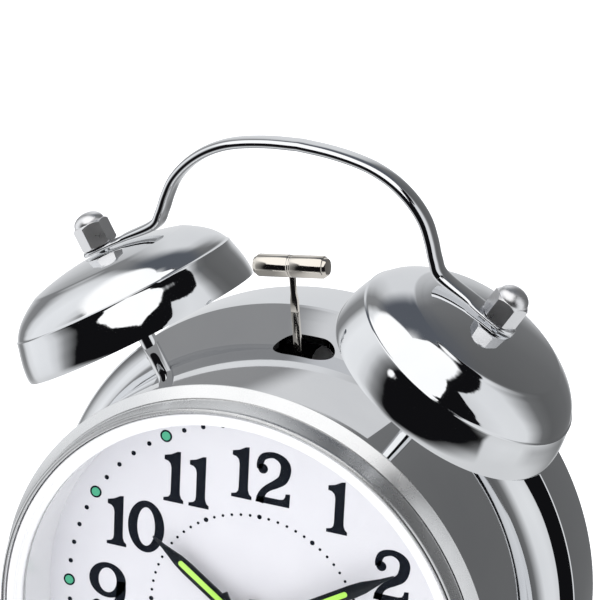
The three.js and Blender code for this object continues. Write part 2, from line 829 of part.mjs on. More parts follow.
function capNut(side) {
  const base = bellHeight + tabThickness;
  const hex = hexRod(nutAcross, nutHexHeight);
  const crown = nutAcross / 2 - 0.25;
  const dome = turned([[0, -0.4], [crown, -0.4], [crown, 0], [crown * 0.94, nutDomeHeight * 0.4],
    [crown * 0.72, nutDomeHeight * 0.75], [crown * 0.4, nutDomeHeight * 0.94], [0, nutDomeHeight]]);
  const bore = rodY(studRadius + nutFit, base - 1, base + nutHexHeight - nutRoof + 0.1);
  return cutBy(joined(solid(alongBell(side, moved(hex, 0, base + nutHexHeight / 2, 0))),
    solid(alongBell(side, moved(dome, 0, base + nutHexHeight, 0)))), solid(alongBell(side, bore)));
}

// ---------- handle ----------
// Half of the bar from its top to a tab, as shares of the half span and of the drop.
const handleBend = [[0.177, 0.017], [0.338, 0.055], [0.459, 0.109], [0.571, 0.197], [0.669, 0.319],
  [0.743, 0.462], [0.785, 0.613], [0.816, 0.768], [0.849, 0.89]];

function handlePath() {
  const end = tabPoint(tabInner - tabOverlap, bellHeight + tabThickness / 2 + 0.35);
  const top = end.z + handleRise;
  const points = [[0, 0], ...handleBend].map(([out, down]) => (
    new THREE.Vector3(out * end.x, bellAxisY, top - down * handleRise)));
  const right = [...points, end];
  const left = right.slice(1).reverse().map((p) => new THREE.Vector3(-p.x, p.y, p.z));
  return new THREE.CatmullRomCurve3([...left, ...right], false, 'centripetal');
}

// A point inward of the right bell's axis and above its rim plane.
function tabPoint(inward, height) {
  return new THREE.Vector3(
    bellX + height * Math.sin(bellLean) - inward * Math.cos(bellLean),
    bellAxisY,
    bellRimZ + height * Math.cos(bellLean) + inward * Math.sin(bellLean),
  );
}

function handleSection() {
  const half = handleWidth / 2;
  const flat = handleThickness * 0.4;
  const round = -handleThickness * 0.6;
  return new THREE.Shape([
    [-half, flat], [half, flat], [half, round * 0.2], [half * 0.6, round * 0.85],
    [0, round], [-half * 0.6, round * 0.85], [-half, round * 0.2],
  ].map(([across, depth]) => new THREE.Vector2(across, depth)));
}

function tabPlate() {
  const half = tabWidth / 2;
  const shape = new THREE.Shape();
  shape.moveTo(-tabInner, -handleWidth / 2);
  shape.lineTo(-tabInner + 4.0, -half);
  shape.lineTo(tabOuter - half, -half);
  shape.absarc(tabOuter - half, 0, half, -Math.PI / 2, Math.PI / 2, false);
  shape.lineTo(-tabInner + 4.0, half);
  shape.lineTo(-tabInner, handleWidth / 2);
  shape.closePath();
  const sheet = { depth: tabThickness, bevelEnabled: false, curveSegments: 8 };
  const plate = new THREE.ExtrudeGeometry(shape, sheet);
  plate.rotateX(-Math.PI / 2);
  return moved(plate, 0, bellHeight, 0);
}

function handle() {
  const bar = solid(new THREE.ExtrudeGeometry(handleSection(), {
    extrudePath: handlePath(), steps: 32, bevelEnabled: false,
  }));
  const left = tabPlate();
  left.scale(-1, 1, 1);
  const tabs = [solid(alongBell(1, tabPlate())), solid(alongBell(-1, left))];
  const holes = [-1, 1].map((side) => solid(alongBell(side, rodY(studRadius + studFit, 0, 40))));
  const room = [-1, 1].map((side) => (
    solid(alongBell(side, rodY(bellRadius, 0, bellHeight, 0, 0, bellSegments)))));
  return cutBy(joined(bar, ...tabs), ...holes, ...room);
}

// ---------- back ----------
function backCover() {
  const halfX = bayWidth / 2;
  const halfZ = bayHeight / 2;
  const bayFront = backFace - bayDepth;
  const plate = solid(rodY(coverRadius, coverY, backFace, 0, 0, roundSegments));
  const bay = solid(block(-halfX, halfX, bayFront, backFace, bayZ - halfZ, bayZ + halfZ));
  const room = solid(block(-halfX + bayWall, halfX - bayWall, bayFront + bayWall, backFace + 2,
    bayZ - halfZ + bayWall, bayZ + halfZ - bayWall));
  const holes = [
    solid(rodY(keyRadius + keyFit, coverY - 5, backFace + 5, ...timeCentre)),
    solid(rodY(keyRadius + keyFit, coverY - 5, backFace + 5, ...alarmCentre)),
    switchSlot(),
    solid(rodY(buttonRadius + buttonFit, coverY - 5, backFace + 5, buttonX, buttonZ)),
  ];
  for (const [x, z] of coverScrewPlaces()) {
    holes.push(solid(rodY(screwRadius + screwFit, coverY - 5, backFace + 5, x, z)));
    holes.push(solid(rodY(screwHeadRadius + screwFit, backFace - 1.0, backFace + 5, x, z)));
  }
  return cutBy(joined(plate, bay), room, ...holes);
}

function coverScrewPlaces() {
  const upper = coverRadius - coverScrewInset;
  const lower = coverRadius - lowerScrewInset;
  return [[35, upper], [145, upper], [270, lower]].map(([degrees, radius]) => {
    const angle = THREE.MathUtils.degToRad(degrees);
    return [radius * Math.cos(angle), radius * Math.sin(angle)];
  });
}

function coverScrew(place) {
  const [x, z] = place;
  const headTop = backFace - 0.1;
  const head = solid(rodY(screwHeadRadius, headTop - 0.9, headTop, x, z));
  const shank = solid(rodY(screwRadius, coverY - 4.0, headTop - 0.5, x, z, 16));
  const slots = [solid(block(x - 1.6, x + 1.6, headTop - 0.5, headTop + 1, z - 0.25, z + 0.25)),
    solid(block(x - 0.25, x + 0.25, headTop - 0.5, headTop + 1, z - 1.6, z + 1.6))];
  return cutBy(joined(head, shank), ...slots);
}

function batteryDoor() {
  const halfX = bayWidth / 2 - bayWall - doorFit;
  const low = bayZ - bayHeight / 2 + bayWall + doorFit;
  const high = bayZ + bayHeight / 2 - bayWall - doorFit;
  const plate = solid(block(-halfX, halfX, backFace - doorThickness, backFace, low, high));
  const ribs = [-2, -1, 0, 1, 2].map((i) => solid(block(-7.0, 7.0, backFace - 0.5, backFace + 0.5,
    high - 6.0 + i * 1.6, high - 5.3 + i * 1.6)));
  return joined(plate, ...ribs);
}

function cellZ(row) {
  return bayZ + row * (cellRadius + cellGap / 2);
}

function cellY() {
  return backFace - doorThickness - doorGap - cellRadius;
}

function cell(row) {
  const direction = row;
  const can = rodX(cellRadius, -cellLength / 2, cellLength / 2 - cellNose, cellY(), cellZ(row), 20);
  const button = rodX(2.6, cellLength / 2 - cellNose - 0.4, cellLength / 2, cellY(), cellZ(row), 12);
  for (const shape of [can, button]) {
    shape.scale(direction, 1, 1);
  }
  return joined(solid(can), solid(button));
}

function bayEnd() {
  return bayWidth / 2 - bayWall;
}

function contactPlate(side, low, high) {
  const outer = side * bayEnd();
  const inner = side * (bayEnd() - contactSheet);
  return solid(block(Math.min(outer, inner), Math.max(outer, inner), cellY() - contactHalf,
    cellY() + contactHalf, low, high));
}

function contactBridge() {
  const plate = contactPlate(-1, cellZ(-1) - contactHalf, cellZ(1) + contactHalf);
  const dimple = solid(rodX(2.0, -bayEnd() + 0.3, -cellLength / 2 - 0.05, cellY(), cellZ(-1), 16));
  const cone = solid(rodX(3.2, -bayEnd() + 0.3, -cellLength / 2 - 0.05, cellY(), cellZ(1), 16));
  return joined(plate, dimple, cone);
}

function contactEnd(row, radius) {
  const plate = contactPlate(1, cellZ(row) - contactHalf, cellZ(row) + contactHalf);
  const boss = solid(rodX(radius, cellLength / 2 + 0.05, bayEnd() - 0.3, cellY(), cellZ(row), 16));
  return joined(plate, boss);
}

// The stem starts at the left end of the slot and slides to the right one.
function stemLeft() {
  return switchX - (stemWidth + switchTravel) / 2;
}

function switchSlot() {
  const left = stemLeft() - switchFit;
  const right = stemLeft() + stemWidth + switchTravel + switchFit;
  const half = stemHeight / 2 + switchFit;
  return solid(block(left, right, coverY - 5, backFace + 5, switchZ - half, switchZ + half));
}

function alarmSwitch() {
  const left = stemLeft();
  const right = left + stemWidth;
  const half = stemHeight / 2;
  const tall = stemHeight + 0.4;
  const stem = solid(block(left, right, coverY - 1.5, backFace + 2.6, switchZ - half, switchZ + half));
  const pad = solid(block(left - 1.0, right + 1.0, backFace + 0.3, backFace + 1.2, switchZ - tall,
    switchZ + tall));
  const keeper = solid(block(left - 1.5, right + 1.5, coverY - 1.5, coverY - 0.3, switchZ - tall,
    switchZ + tall));
  return joined(stem, pad, keeper);
}

function lightButton() {
  const flange = buttonRadius + buttonFlange;
  return solid(moved(turned([
    [0, coverY - 1.2], [flange, coverY - 1.2], [flange, coverY - 0.1], [buttonRadius, coverY - 0.1],
    [buttonRadius, backFace + 2.0], [buttonRadius - 0.5, backFace + 2.5], [0, backFace + 2.7],
  ], 20), buttonX, 0, buttonZ));
}

// ---------- feet ----------
function alongFoot(side, geometry) {
  const angle = THREE.MathUtils.degToRad(footAngle);
  const axis = new THREE.Vector3(side * Math.sin(angle), 0, -Math.cos(angle));
  return moved(laidAlong(axis, geometry), 0, footY, 0);
}

function footReach() {
  return (dialHeight - tipHeight) / Math.cos(THREE.MathUtils.degToRad(footAngle));
}

function belowTable(level) {
  return solid(block(-90, 90, -60, 90, -dialHeight - 40, -dialHeight + level));
}

function frontFoot(side) {
  const reach = footReach() + 2.5;
  const start = caseRadius - 1.0;
  const body = solid(alongFoot(side, turned([
    [0, start - 4.0], [footStudRadius, start - 4.0], [footStudRadius, start], [footTopRadius, start],
    [footTopRadius, caseRadius + 2.2], [footTopRadius - 0.7, caseRadius + 3.2],
    [footEndRadius, reach], [0, reach],
  ], 20)));
  const drum = solid(rodY(caseRadius + seatGap, -20, 30, 0, 0, roundSegments));
  const stud = solid(alongFoot(side, rodY(footStudRadius, start - 4.0, start + 2)));
  return joined(cutBy(body, drum, belowTable(tipHeight)), stud);
}

function footTip(side) {
  const reach = footReach();
  const body = solid(alongFoot(side, turned([
    [0, reach - 6.0], [footEndRadius + 0.8, reach - 6.0], [footEndRadius + 1.0, reach + 6.0],
    [0, reach + 6.0],
  ], 20)));
  const above = solid(block(-90, 90, -60, 90, -dialHeight + tipHeight, 0));
  return cutBy(body, above, belowTable(0));
}

function rearFoot() {
  const top = -flangeRadius + 0.15;
  const bottom = -dialHeight + tipHeight;
  const leg = new THREE.CylinderGeometry(rearFootRadius, rearFootRadius - 0.6, top - bottom, 20);
  leg.rotateX(Math.PI / 2);
  const body = solid(moved(leg, 0, rearFootY, (top + bottom) / 2));
  const drum = solid(rodY(flangeRadius + seatGap, flangeY - 5, caseBackY + 5, 0, 0, roundSegments));
  const screw = new THREE.CylinderGeometry(rearScrewRadius, rearScrewRadius, 5.0, smallSegments);
  screw.rotateX(Math.PI / 2);
  return joined(cutBy(body, drum), solid(moved(screw, 0, rearFootY, top)));
}

function rearTip() {
  const tip = new THREE.CylinderGeometry(rearFootRadius, rearFootRadius + 0.2, tipHeight, 20);
  tip.rotateX(Math.PI / 2);
  return solid(moved(tip, 0, rearFootY, -dialHeight + tipHeight / 2));
}

// ---------- assembly ----------
const clock = new THREE.Group();
clock.name = 'twin_bell_alarm_clock';

function place(name, shape, look) {
  const result = shape.getMesh();
  const geometry = new THREE.BufferGeometry();
  const positions = new Float32Array((result.vertProperties.length / result.numProp) * 3);
  for (let i = 0; i < positions.length / 3; i += 1) {
    for (let k = 0; k < 3; k += 1) {
      positions[i * 3 + k] = result.vertProperties[i * result.numProp + k];
    }
  }
  geometry.setAttribute('position', new THREE.BufferAttribute(positions, 3));
  geometry.setIndex(new THREE.BufferAttribute(Uint32Array.from(result.triVerts), 1));
  geometry.applyMatrix4(toClock);
  geometry.computeVertexNormals();
  const mesh = new THREE.Mesh(geometry, look);
  mesh.name = name;
  clock.add(mesh);
}

place('case_shell', caseShell(), chrome);
place('front_bezel', frontBezel(), chrome);
place('rim_ring', rimRing(), whitePlastic);
place('front_lens', frontLens(), lensClear);
place('dial_wall', dialWall(), whitePlastic);
place('dial', dialPlate(), dialWhite);
place('dial_lamp', dialLamp(), lampClear);
place('alarm_wheel', alarmWheel(), brass);
place('alarm_hand', alarmHand(), handSilver);
place('hour_wheel', hourWheel(), brass);
place('hour_hand', hourHand(), handBlack);
place('hour_lume', lumeStrip(hourWindow, hourHandY, hourHandAngle), lume);
place('cannon_pinion', cannonPinion(), brass);
place('minute_hand', minuteHand(), handBlack);
place('minute_lume', lumeStrip(minuteWindow, minuteHandY, minuteHandAngle), lume);
place('minute_wheel', minuteWheel(), creamPlastic);
place('second_arbor', secondArbor(), steel);
place('second_hand', secondHand(), handBlack);
place('movement_base', movementBase(), creamPlastic);
place('movement_cover', movementCover(), blackPlastic);
place('step_coil', stepCoil(), copper);
place('circuit_board', circuitBoard(), boardGreen);
place('time_key', timeKey(), steel);
place('time_knob', knob(timeCentre), blackPlastic);
place('alarm_key', alarmKey(), steel);
place('alarm_knob', knob(alarmCentre), blackPlastic);
place('hammer_bracket', hammerBracket(), steel);
place('hammer_pin', hammerPin(), steel);
place('hammer_coil', hammerCoil(), copper);
place('hammer_arm', hammerArm(), steel);
place('hammer_head', hammerHead(), nickel);
place('handle', handle(), chrome);
for (const [label, side] of [['left', -1], ['right', 1]]) {
  place(`bell_${label}`, bell(side), chrome);
  place(`bell_post_${label}`, bellPost(side), chrome);
  place(`post_nut_${label}`, postNut(side), steel);
  place(`cap_nut_${label}`, capNut(side), chrome);
  place(`front_foot_${label}`, frontFoot(side), chrome);
  place(`foot_tip_${label}`, footTip(side), rubber);
}
place('rear_foot', rearFoot(), chrome);
place('foot_tip_rear', rearTip(), rubber);
place('back_cover', backCover(), blackPlastic);
coverScrewPlaces().forEach((spot, index) => place(`cover_screw_${index + 1}`, coverScrew(spot), steel));
place('battery_door', batteryDoor(), blackPlastic);
place('battery_upper', cell(1), cellSleeve);
place('battery_lower', cell(-1), cellSleeve);
place('contact_bridge', contactBridge(), steel);
place('contact_upper', contactEnd(1, 2.0), steel);
place('contact_lower', contactEnd(-1, 3.2), steel);
place('alarm_switch', alarmSwitch(), blackPlastic);
place('light_button', lightButton(), whitePlastic);

export default clock;
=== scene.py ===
import json
import math

import bmesh
import bpy
from mathutils import Matrix, Vector

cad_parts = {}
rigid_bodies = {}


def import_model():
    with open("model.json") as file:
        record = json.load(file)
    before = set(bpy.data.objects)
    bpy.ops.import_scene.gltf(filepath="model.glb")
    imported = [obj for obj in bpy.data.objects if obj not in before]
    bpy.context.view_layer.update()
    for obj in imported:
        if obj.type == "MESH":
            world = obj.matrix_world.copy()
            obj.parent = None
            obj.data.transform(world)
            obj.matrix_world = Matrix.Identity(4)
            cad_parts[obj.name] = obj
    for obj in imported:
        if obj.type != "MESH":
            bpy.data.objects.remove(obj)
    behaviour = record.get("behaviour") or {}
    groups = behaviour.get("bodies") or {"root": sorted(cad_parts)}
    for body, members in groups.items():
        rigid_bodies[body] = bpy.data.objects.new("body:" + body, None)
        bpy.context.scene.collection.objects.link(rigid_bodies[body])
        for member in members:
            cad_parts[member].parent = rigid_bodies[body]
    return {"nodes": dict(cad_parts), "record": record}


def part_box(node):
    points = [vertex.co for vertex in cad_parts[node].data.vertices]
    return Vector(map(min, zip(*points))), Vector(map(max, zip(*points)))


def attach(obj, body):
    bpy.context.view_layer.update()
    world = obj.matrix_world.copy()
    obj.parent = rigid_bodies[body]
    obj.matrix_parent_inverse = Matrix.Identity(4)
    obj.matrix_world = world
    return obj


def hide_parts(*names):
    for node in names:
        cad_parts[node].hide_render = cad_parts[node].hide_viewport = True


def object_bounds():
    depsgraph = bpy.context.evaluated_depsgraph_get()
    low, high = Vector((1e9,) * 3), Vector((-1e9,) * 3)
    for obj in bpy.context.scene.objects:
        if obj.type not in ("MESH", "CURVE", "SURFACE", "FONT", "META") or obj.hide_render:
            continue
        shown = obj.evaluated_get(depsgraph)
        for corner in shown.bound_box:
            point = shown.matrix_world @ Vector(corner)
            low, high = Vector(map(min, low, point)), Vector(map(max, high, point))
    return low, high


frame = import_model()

mm = 0.001
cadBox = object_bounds()
slotOfNode = {part["node"]: part["material_slot"] for part in frame["record"]["subparts"]}
bodyOfNode = {node: body for body, nodes in frame["record"]["behaviour"]["bodies"].items() for node in nodes}

dialLow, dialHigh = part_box("dial")
dialCentre = Vector((0, dialLow.y, (dialLow.z + dialHigh.z) / 2))   # middle of the dial's face


# ---- camera ----
viewpoint = {
    "azimuth": 21.81,
    "elevation": 19.391,
    "roll": 2.867,
    "distance": 520.96,
    "target": (6.306, 0, 69.585),     # mm from the middle of the dial
    "lens": 163.617,
}


def makeCamera():
    azimuth, elevation, roll = (math.radians(viewpoint[k]) for k in ("azimuth", "elevation", "roll"))
    back = Vector((math.sin(azimuth) * math.cos(elevation), -math.cos(azimuth) * math.cos(elevation),
                   math.sin(elevation)))
    right = (-back).cross(Vector((0, 0, 1))).normalized()
    up = right.cross(-back)
    across = right * math.cos(roll) + up * math.sin(roll)
    above = -right * math.sin(roll) + up * math.cos(roll)
    camera = bpy.data.objects.new("camera", bpy.data.cameras.new("camera"))
    camera.data.lens = viewpoint["lens"]
    camera.data.sensor_width = 36
    camera.data.clip_start = 0.01
    camera.data.clip_end = 20
    turn = Matrix((across, above, back)).transposed().to_4x4()
    place = dialCentre + Vector(viewpoint["target"]) * mm + back * viewpoint["distance"] * mm
    camera.matrix_world = Matrix.Translation(place) @ turn
    bpy.context.scene.collection.objects.link(camera)
    bpy.context.scene.camera = camera


makeCamera()
print("camera set")


# ---- shape helpers, all in millimetres until a piece is placed ----
def smoothLine(points, parts):
    points = [Vector(point) for point in points]
    ends = [2 * points[0] - points[1]] + points + [2 * points[-1] - points[-2]]
    line = []
    for a, b, c, d in zip(ends, ends[1:], ends[2:], ends[3:]):
        for step in range(parts):
            t = step / parts
            line.append(0.5 * (2 * b + (c - a) * t + (2 * a - 5 * b + 4 * c - d) * t * t
                               + (3 * b - a - 3 * c + d) * t ** 3))
    return line + [points[-1]]


def wire(bm, points, closed=False):
    corners = [bm.verts.new(point) for point in points]
    pairs = list(zip(corners, corners[1:])) + ([(corners[-1], corners[0])] if closed else [])
    return corners, [bm.edges.new(pair) for pair in pairs]


def tidyFaces(bm, gap=1e-4):
    bmesh.ops.remove_doubles(bm, verts=bm.verts, dist=gap)
    bmesh.ops.dissolve_degenerate(bm, edges=bm.edges, dist=gap)
    bmesh.ops.recalc_face_normals(bm, faces=bm.faces)
    return bm


def spun(profile, steps, closed=False):   # (radius, height) turned about Y
    bm = bmesh.new()
    corners, lines = wire(bm, [(radius, height, 0) for radius, height in profile], closed)
    bmesh.ops.spin(bm, geom=corners + lines, cent=(0, 0, 0), axis=(0, 1, 0), angle=2 * math.pi,
                   steps=steps, use_merge=True)
    return tidyFaces(bm)


def softEdges(bm, width, sharper=35, segments=2):
    sharp = [e for e in bm.edges if len(e.link_faces) == 2
             and e.calc_face_angle(0) > math.radians(sharper)]
    bmesh.ops.bevel(bm, geom=sharp, offset=width, offset_type="OFFSET", segments=segments, profile=0.5,
                    material=-1, affect="EDGES", clamp_overlap=True)
    return bm


def fromDial(x=0, depth=0, z=0):
    return Matrix.Translation(dialCentre) @ Matrix.Scale(mm, 4) @ Matrix.Translation((x, depth, z))


def alongAxis(axis, foot):   # local Y laid on an axis in the X and Z plane
    axis = Vector(axis).normalized()
    across = Vector((axis.z, 0, -axis.x))
    turn = Matrix((across, axis, across.cross(axis))).transposed().to_4x4()
    return fromDial(*foot) @ turn


def finishPiece(name, bm, place, look, stands=(), body=None, smooth=32):
    bm.transform(place)
    mesh = bpy.data.meshes.new(name)
    bm.to_mesh(mesh)
    bm.free()
    return adoptMesh(name, mesh, look, stands, body, smooth)


def adoptMesh(name, mesh, look, stands=(), body=None, smooth=32):
    mesh.shade_smooth()
    mesh.set_sharp_from_angle(angle=math.radians(smooth))
    mesh.materials.clear()
    mesh.materials.append(look)
    piece = bpy.data.objects.new(name, mesh)
    bpy.context.scene.collection.objects.link(piece)
    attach(piece, body or bodyOfNode[stands[0]])
    if stands:
        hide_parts(*stands)
    return piece


def meshNow(piece):   # the mesh with its modifiers worked in
    state = piece.evaluated_get(bpy.context.evaluated_depsgraph_get())
    return bpy.data.meshes.new_from_object(state)


def combined(first, second, operation):   # two bmeshes in, one out
    pair = []
    for source in (first, second):
        mesh = bpy.data.meshes.new("tool")
        source.to_mesh(mesh)
        source.free()
        thing = bpy.data.objects.new("tool", mesh)
        bpy.context.scene.collection.objects.link(thing)
        pair.append(thing)
    cut = pair[0].modifiers.new("cut", "BOOLEAN")
    cut.operation = operation
    cut.solver = "EXACT"
    cut.object = pair[1]
    bpy.context.view_layer.update()
    made = meshNow(pair[0])
    result = bmesh.new()
    result.from_mesh(made)
    for thing in pair:
        bpy.data.objects.remove(thing)
    return result


# ---- finishes ----
def newLook(name, **sockets):
    look = bpy.data.materials.new(name)
    look.use_nodes = True
    tree = look.node_tree
    shader = tree.nodes["Principled BSDF"]
    for socket, value in sockets.items():
        shader.inputs[socket.replace("_", " ")].default_value = value
    return look, tree, shader


def noiseOf(tree, scale, detail=3.0, rough=0.5, stretch=(1, 1, 1)):
    spot = tree.nodes.new("ShaderNodeTexCoord")
    mapping = tree.nodes.new("ShaderNodeMapping")
    mapping.inputs["Scale"].default_value = stretch
    noise = tree.nodes.new("ShaderNodeTexNoise")
    noise.inputs["Scale"].default_value = scale
    noise.inputs["Detail"].default_value = detail
    noise.inputs["Roughness"].default_value = rough
    tree.links.new(spot.outputs["Object"], mapping.inputs["Vector"])
    tree.links.new(mapping.outputs["Vector"], noise.inputs["Vector"])
    return noise.outputs["Fac"]


def between(tree, value, low, high):
    spread = tree.nodes.new("ShaderNodeMapRange")
    spread.inputs["From Min"].default_value = 0.3
    spread.inputs["From Max"].default_value = 0.7
    spread.inputs["To Min"].default_value = low
    spread.inputs["To Max"].default_value = high
    tree.links.new(value, spread.inputs["Value"])
    return spread.outputs["Result"]


def tinted(tree, value, low, high):
    ramp = tree.nodes.new("ShaderNodeValToRGB")
    ramp.color_ramp.elements[0].position = 0.3
    ramp.color_ramp.elements[0].color = (*low, 1)
    ramp.color_ramp.elements[1].position = 0.7
    ramp.color_ramp.elements[1].color = (*high, 1)
    tree.links.new(value, ramp.inputs["Fac"])
    return ramp.outputs["Color"]


def bumped(tree, shader, value, depth, strength=1.0):
    bump = tree.nodes.new("ShaderNodeBump")
    bump.inputs["Strength"].default_value = strength
    bump.inputs["Distance"].default_value = depth
    tree.links.new(value, bump.inputs["Height"])
    tree.links.new(bump.outputs["Normal"], shader.inputs["Normal"])


def platedLook(name, low, high, rough, ripple, rippleScale):
    look, tree, shader = newLook(name, Metallic=1.0)
    film = noiseOf(tree, 55, 4)
    tree.links.new(tinted(tree, film, low, high), shader.inputs["Base Color"])
    tree.links.new(between(tree, noiseOf(tree, 260, 5, 0.6), *rough), shader.inputs["Roughness"])
    bumped(tree, shader, noiseOf(tree, rippleScale, 2.0), ripple)
    return look


def mouldedLook(name, low, high, rough, grain, grainScale, **sockets):
    look, tree, shader = newLook(name, **sockets)
    tree.links.new(tinted(tree, noiseOf(tree, 90, 4), low, high), shader.inputs["Base Color"])
    tree.links.new(between(tree, noiseOf(tree, 420, 3), *rough), shader.inputs["Roughness"])
    bumped(tree, shader, noiseOf(tree, grainScale, 2.0), grain)
    return look


def clearLook(name, tint, alpha):
    look, tree, shader = newLook(name, IOR=1.49, Alpha=alpha)
    tree.links.new(tinted(tree, noiseOf(tree, 40, 2), tint, tint), shader.inputs["Base Color"])
    tree.links.new(between(tree, noiseOf(tree, 180, 3), 0.02, 0.05), shader.inputs["Roughness"])
    return look


looks = {
    "chrome": platedLook("chrome", (0.80, 0.81, 0.83), (0.86, 0.87, 0.88), (0.025, 0.05), 0.0000012, 420),
    "nickel": platedLook("nickel", (0.78, 0.73, 0.66), (0.86, 0.82, 0.75), (0.06, 0.12), 0.000001, 600),
    "steel": platedLook("steel", (0.50, 0.51, 0.52), (0.62, 0.63, 0.64), (0.22, 0.36), 0.000002, 900),
    "brass": platedLook("brass", (0.62, 0.42, 0.14), (0.76, 0.56, 0.24), (0.22, 0.38), 0.000002, 700),
    "copper": platedLook("copper", (0.48, 0.18, 0.08), (0.62, 0.28, 0.14), (0.25, 0.4), 0.00001, 900),
    "hand_silver": platedLook("handSilver", (0.66, 0.67, 0.68), (0.74, 0.75, 0.76), (0.2, 0.3), 0.000001,
                              900),
    "white_plastic": mouldedLook("whiteRim", (0.84, 0.845, 0.85), (0.88, 0.885, 0.89), (0.16, 0.24),
                                 0.000002, 500),
    "dial_white": mouldedLook("dialCard", (0.80, 0.80, 0.835), (0.84, 0.84, 0.87), (0.5, 0.62),
                              0.000003, 1600),
    "hand_black": mouldedLook("handPaint", (0.006, 0.009, 0.014), (0.012, 0.016, 0.022), (0.3, 0.42),
                              0.000003, 1500),
    "lume": mouldedLook("glowPaint", (0.44, 0.86, 0.10), (0.56, 0.95, 0.17), (0.6, 0.8), 0.00001, 2200),
    "black_plastic": mouldedLook("blackShell", (0.012, 0.012, 0.013), (0.022, 0.022, 0.024), (0.42, 0.58),
                                 0.00002, 2600),
    "cream_plastic": mouldedLook("creamFrame", (0.66, 0.62, 0.52), (0.74, 0.70, 0.60), (0.42, 0.55),
                                 0.00001, 1400),
    "rubber": mouldedLook("rubberTip", (0.014, 0.014, 0.015), (0.026, 0.026, 0.028), (0.72, 0.9),
                          0.00003, 2400),
    "cell_sleeve": mouldedLook("cellSleeve", (0.03, 0.05, 0.07), (0.06, 0.09, 0.12), (0.25, 0.36),
                               0.000004, 800),
    "board_green": mouldedLook("board", (0.02, 0.12, 0.05), (0.03, 0.18, 0.08), (0.35, 0.5), 0.00001, 1200),
    "lens_clear": clearLook("lensClear", (0.012, 0.016, 0.018), 0.03),
    "lamp_clear": clearLook("lampResin", (0.86, 0.90, 0.93), 0.55),
}
satinPlate = platedLook("satinPlate", (0.80, 0.805, 0.81), (0.86, 0.865, 0.87), (0.24, 0.3), 0.000001, 700)
nutPlate = platedLook("nutPlate", (0.84, 0.84, 0.85), (0.90, 0.90, 0.91), (0.26, 0.34), 0.000002, 600)
# near-black painted shade for the drum's inside and the slot walls, standing in for the shade inside the
# closed case
paintedShadeInside = mouldedLook("paintedShadeInside", (0.004, 0.004, 0.004), (0.008, 0.008, 0.008), (0.8, 0.9), 0.00002, 900)
greenPaint = mouldedLook("greenPaint", (0.06, 0.47, 0.25), (0.10, 0.56, 0.33), (0.5, 0.7), 0.000006, 1800)
dialInk = mouldedLook("dialInk", (0.006, 0.008, 0.014), (0.011, 0.014, 0.022), (0.4, 0.55), 0.000003, 1500,
                       Specular_IOR_Level=0.1)

for node, thing in frame["nodes"].items():
    thing.data.materials.clear()
    thing.data.materials.append(looks[slotOfNode[node]])
print("finishes ready")


# ---- case ----
caseShape = {
    "steps": 288,
    "front": -7.5,
    "body": 52.0,
    "wall": 1.2,
    "flare": [(52.0, 17.5), (52.22, 19.6), (52.85, 21.7), (53.9, 23.8), (55.0, 25.2), (55.9, 26.0)],
    "flange": 58.5,
    "flangeDepth": 26.6,
    "back": 39.8,
    "round": 0.5,
    "slot": {"depth": 19.2, "length": 12.8, "width": 8.2},
}


def caseLine():
    front, body = caseShape["front"], caseShape["body"]
    straight = [(body, front + (17.5 - front) * i / 20) for i in range(20)]
    flare = [tuple(p) for p in smoothLine(caseShape["flare"], 3)]
    rim, round_ = caseShape["flange"], caseShape["round"]
    turn = [(rim - round_ + round_ * math.sin(a), caseShape["flangeDepth"] + round_ - round_ * math.cos(a))
            for a in (math.radians(15 * i) for i in range(7))]
    tail = [(rim, caseShape["back"] - round_)]
    tail += [(rim - round_ + round_ * math.cos(a), caseShape["back"] - round_ + round_ * math.sin(a))
             for a in (math.radians(15 * i) for i in range(1, 7))]
    return straight + flare + turn + tail


def makeCase():
    wall = caseShape["wall"]
    rim = caseShape["flange"] - wall
    inside = [(rim, caseShape["back"]), (rim, caseShape["flangeDepth"] + wall),
              (54.9, 27.2), (52.9, 24.8), (51.7, 22.7), (50.95, 19.8), (50.8, 17.5),
              (50.8, 10), (50.8, caseShape["front"])]
    shell = spun(caseLine() + inside, caseShape["steps"], closed=True)
    slot = caseShape["slot"]
    pill = bmesh.new()
    half = (slot["length"] - slot["width"]) / 2
    bmesh.ops.create_circle(pill, cap_ends=True, radius=slot["width"] / 2, segments=64)
    for corner in pill.verts:
        corner.co.x += half if corner.co.x > 0 else -half
    lifted = bmesh.ops.extrude_face_region(pill, geom=pill.faces[:])["geom"]
    bmesh.ops.translate(pill, vec=(0, 0, 20), verts=[v for v in lifted if isinstance(v, bmesh.types.BMVert)])
    bmesh.ops.translate(pill, vec=(0, slot["depth"], caseShape["body"] - 10), verts=pill.verts)
    bmesh.ops.recalc_face_normals(pill, faces=pill.faces)
    cut = combined(shell, pill, "DIFFERENCE")
    piece = finishPiece("case", cut, fromDial(), looks["chrome"], ["case_shell"], smooth=30)
    holdCaseShading(piece)
    # inward faces and the slot walls take the near-black painted shade material
    piece.data.materials.append(paintedShadeInside)
    for face in piece.data.polygons:
        spot = (face.center - dialCentre) / mm
        away = Vector((spot.x, 0, spot.z)).normalized().dot(face.normal)
        radius = math.hypot(spot.x, spot.z)
        if away < -0.3 or (abs(away) < 0.6 and radius < caseShape["body"] - 0.15 and spot.y < 25):
            face.material_index = 1


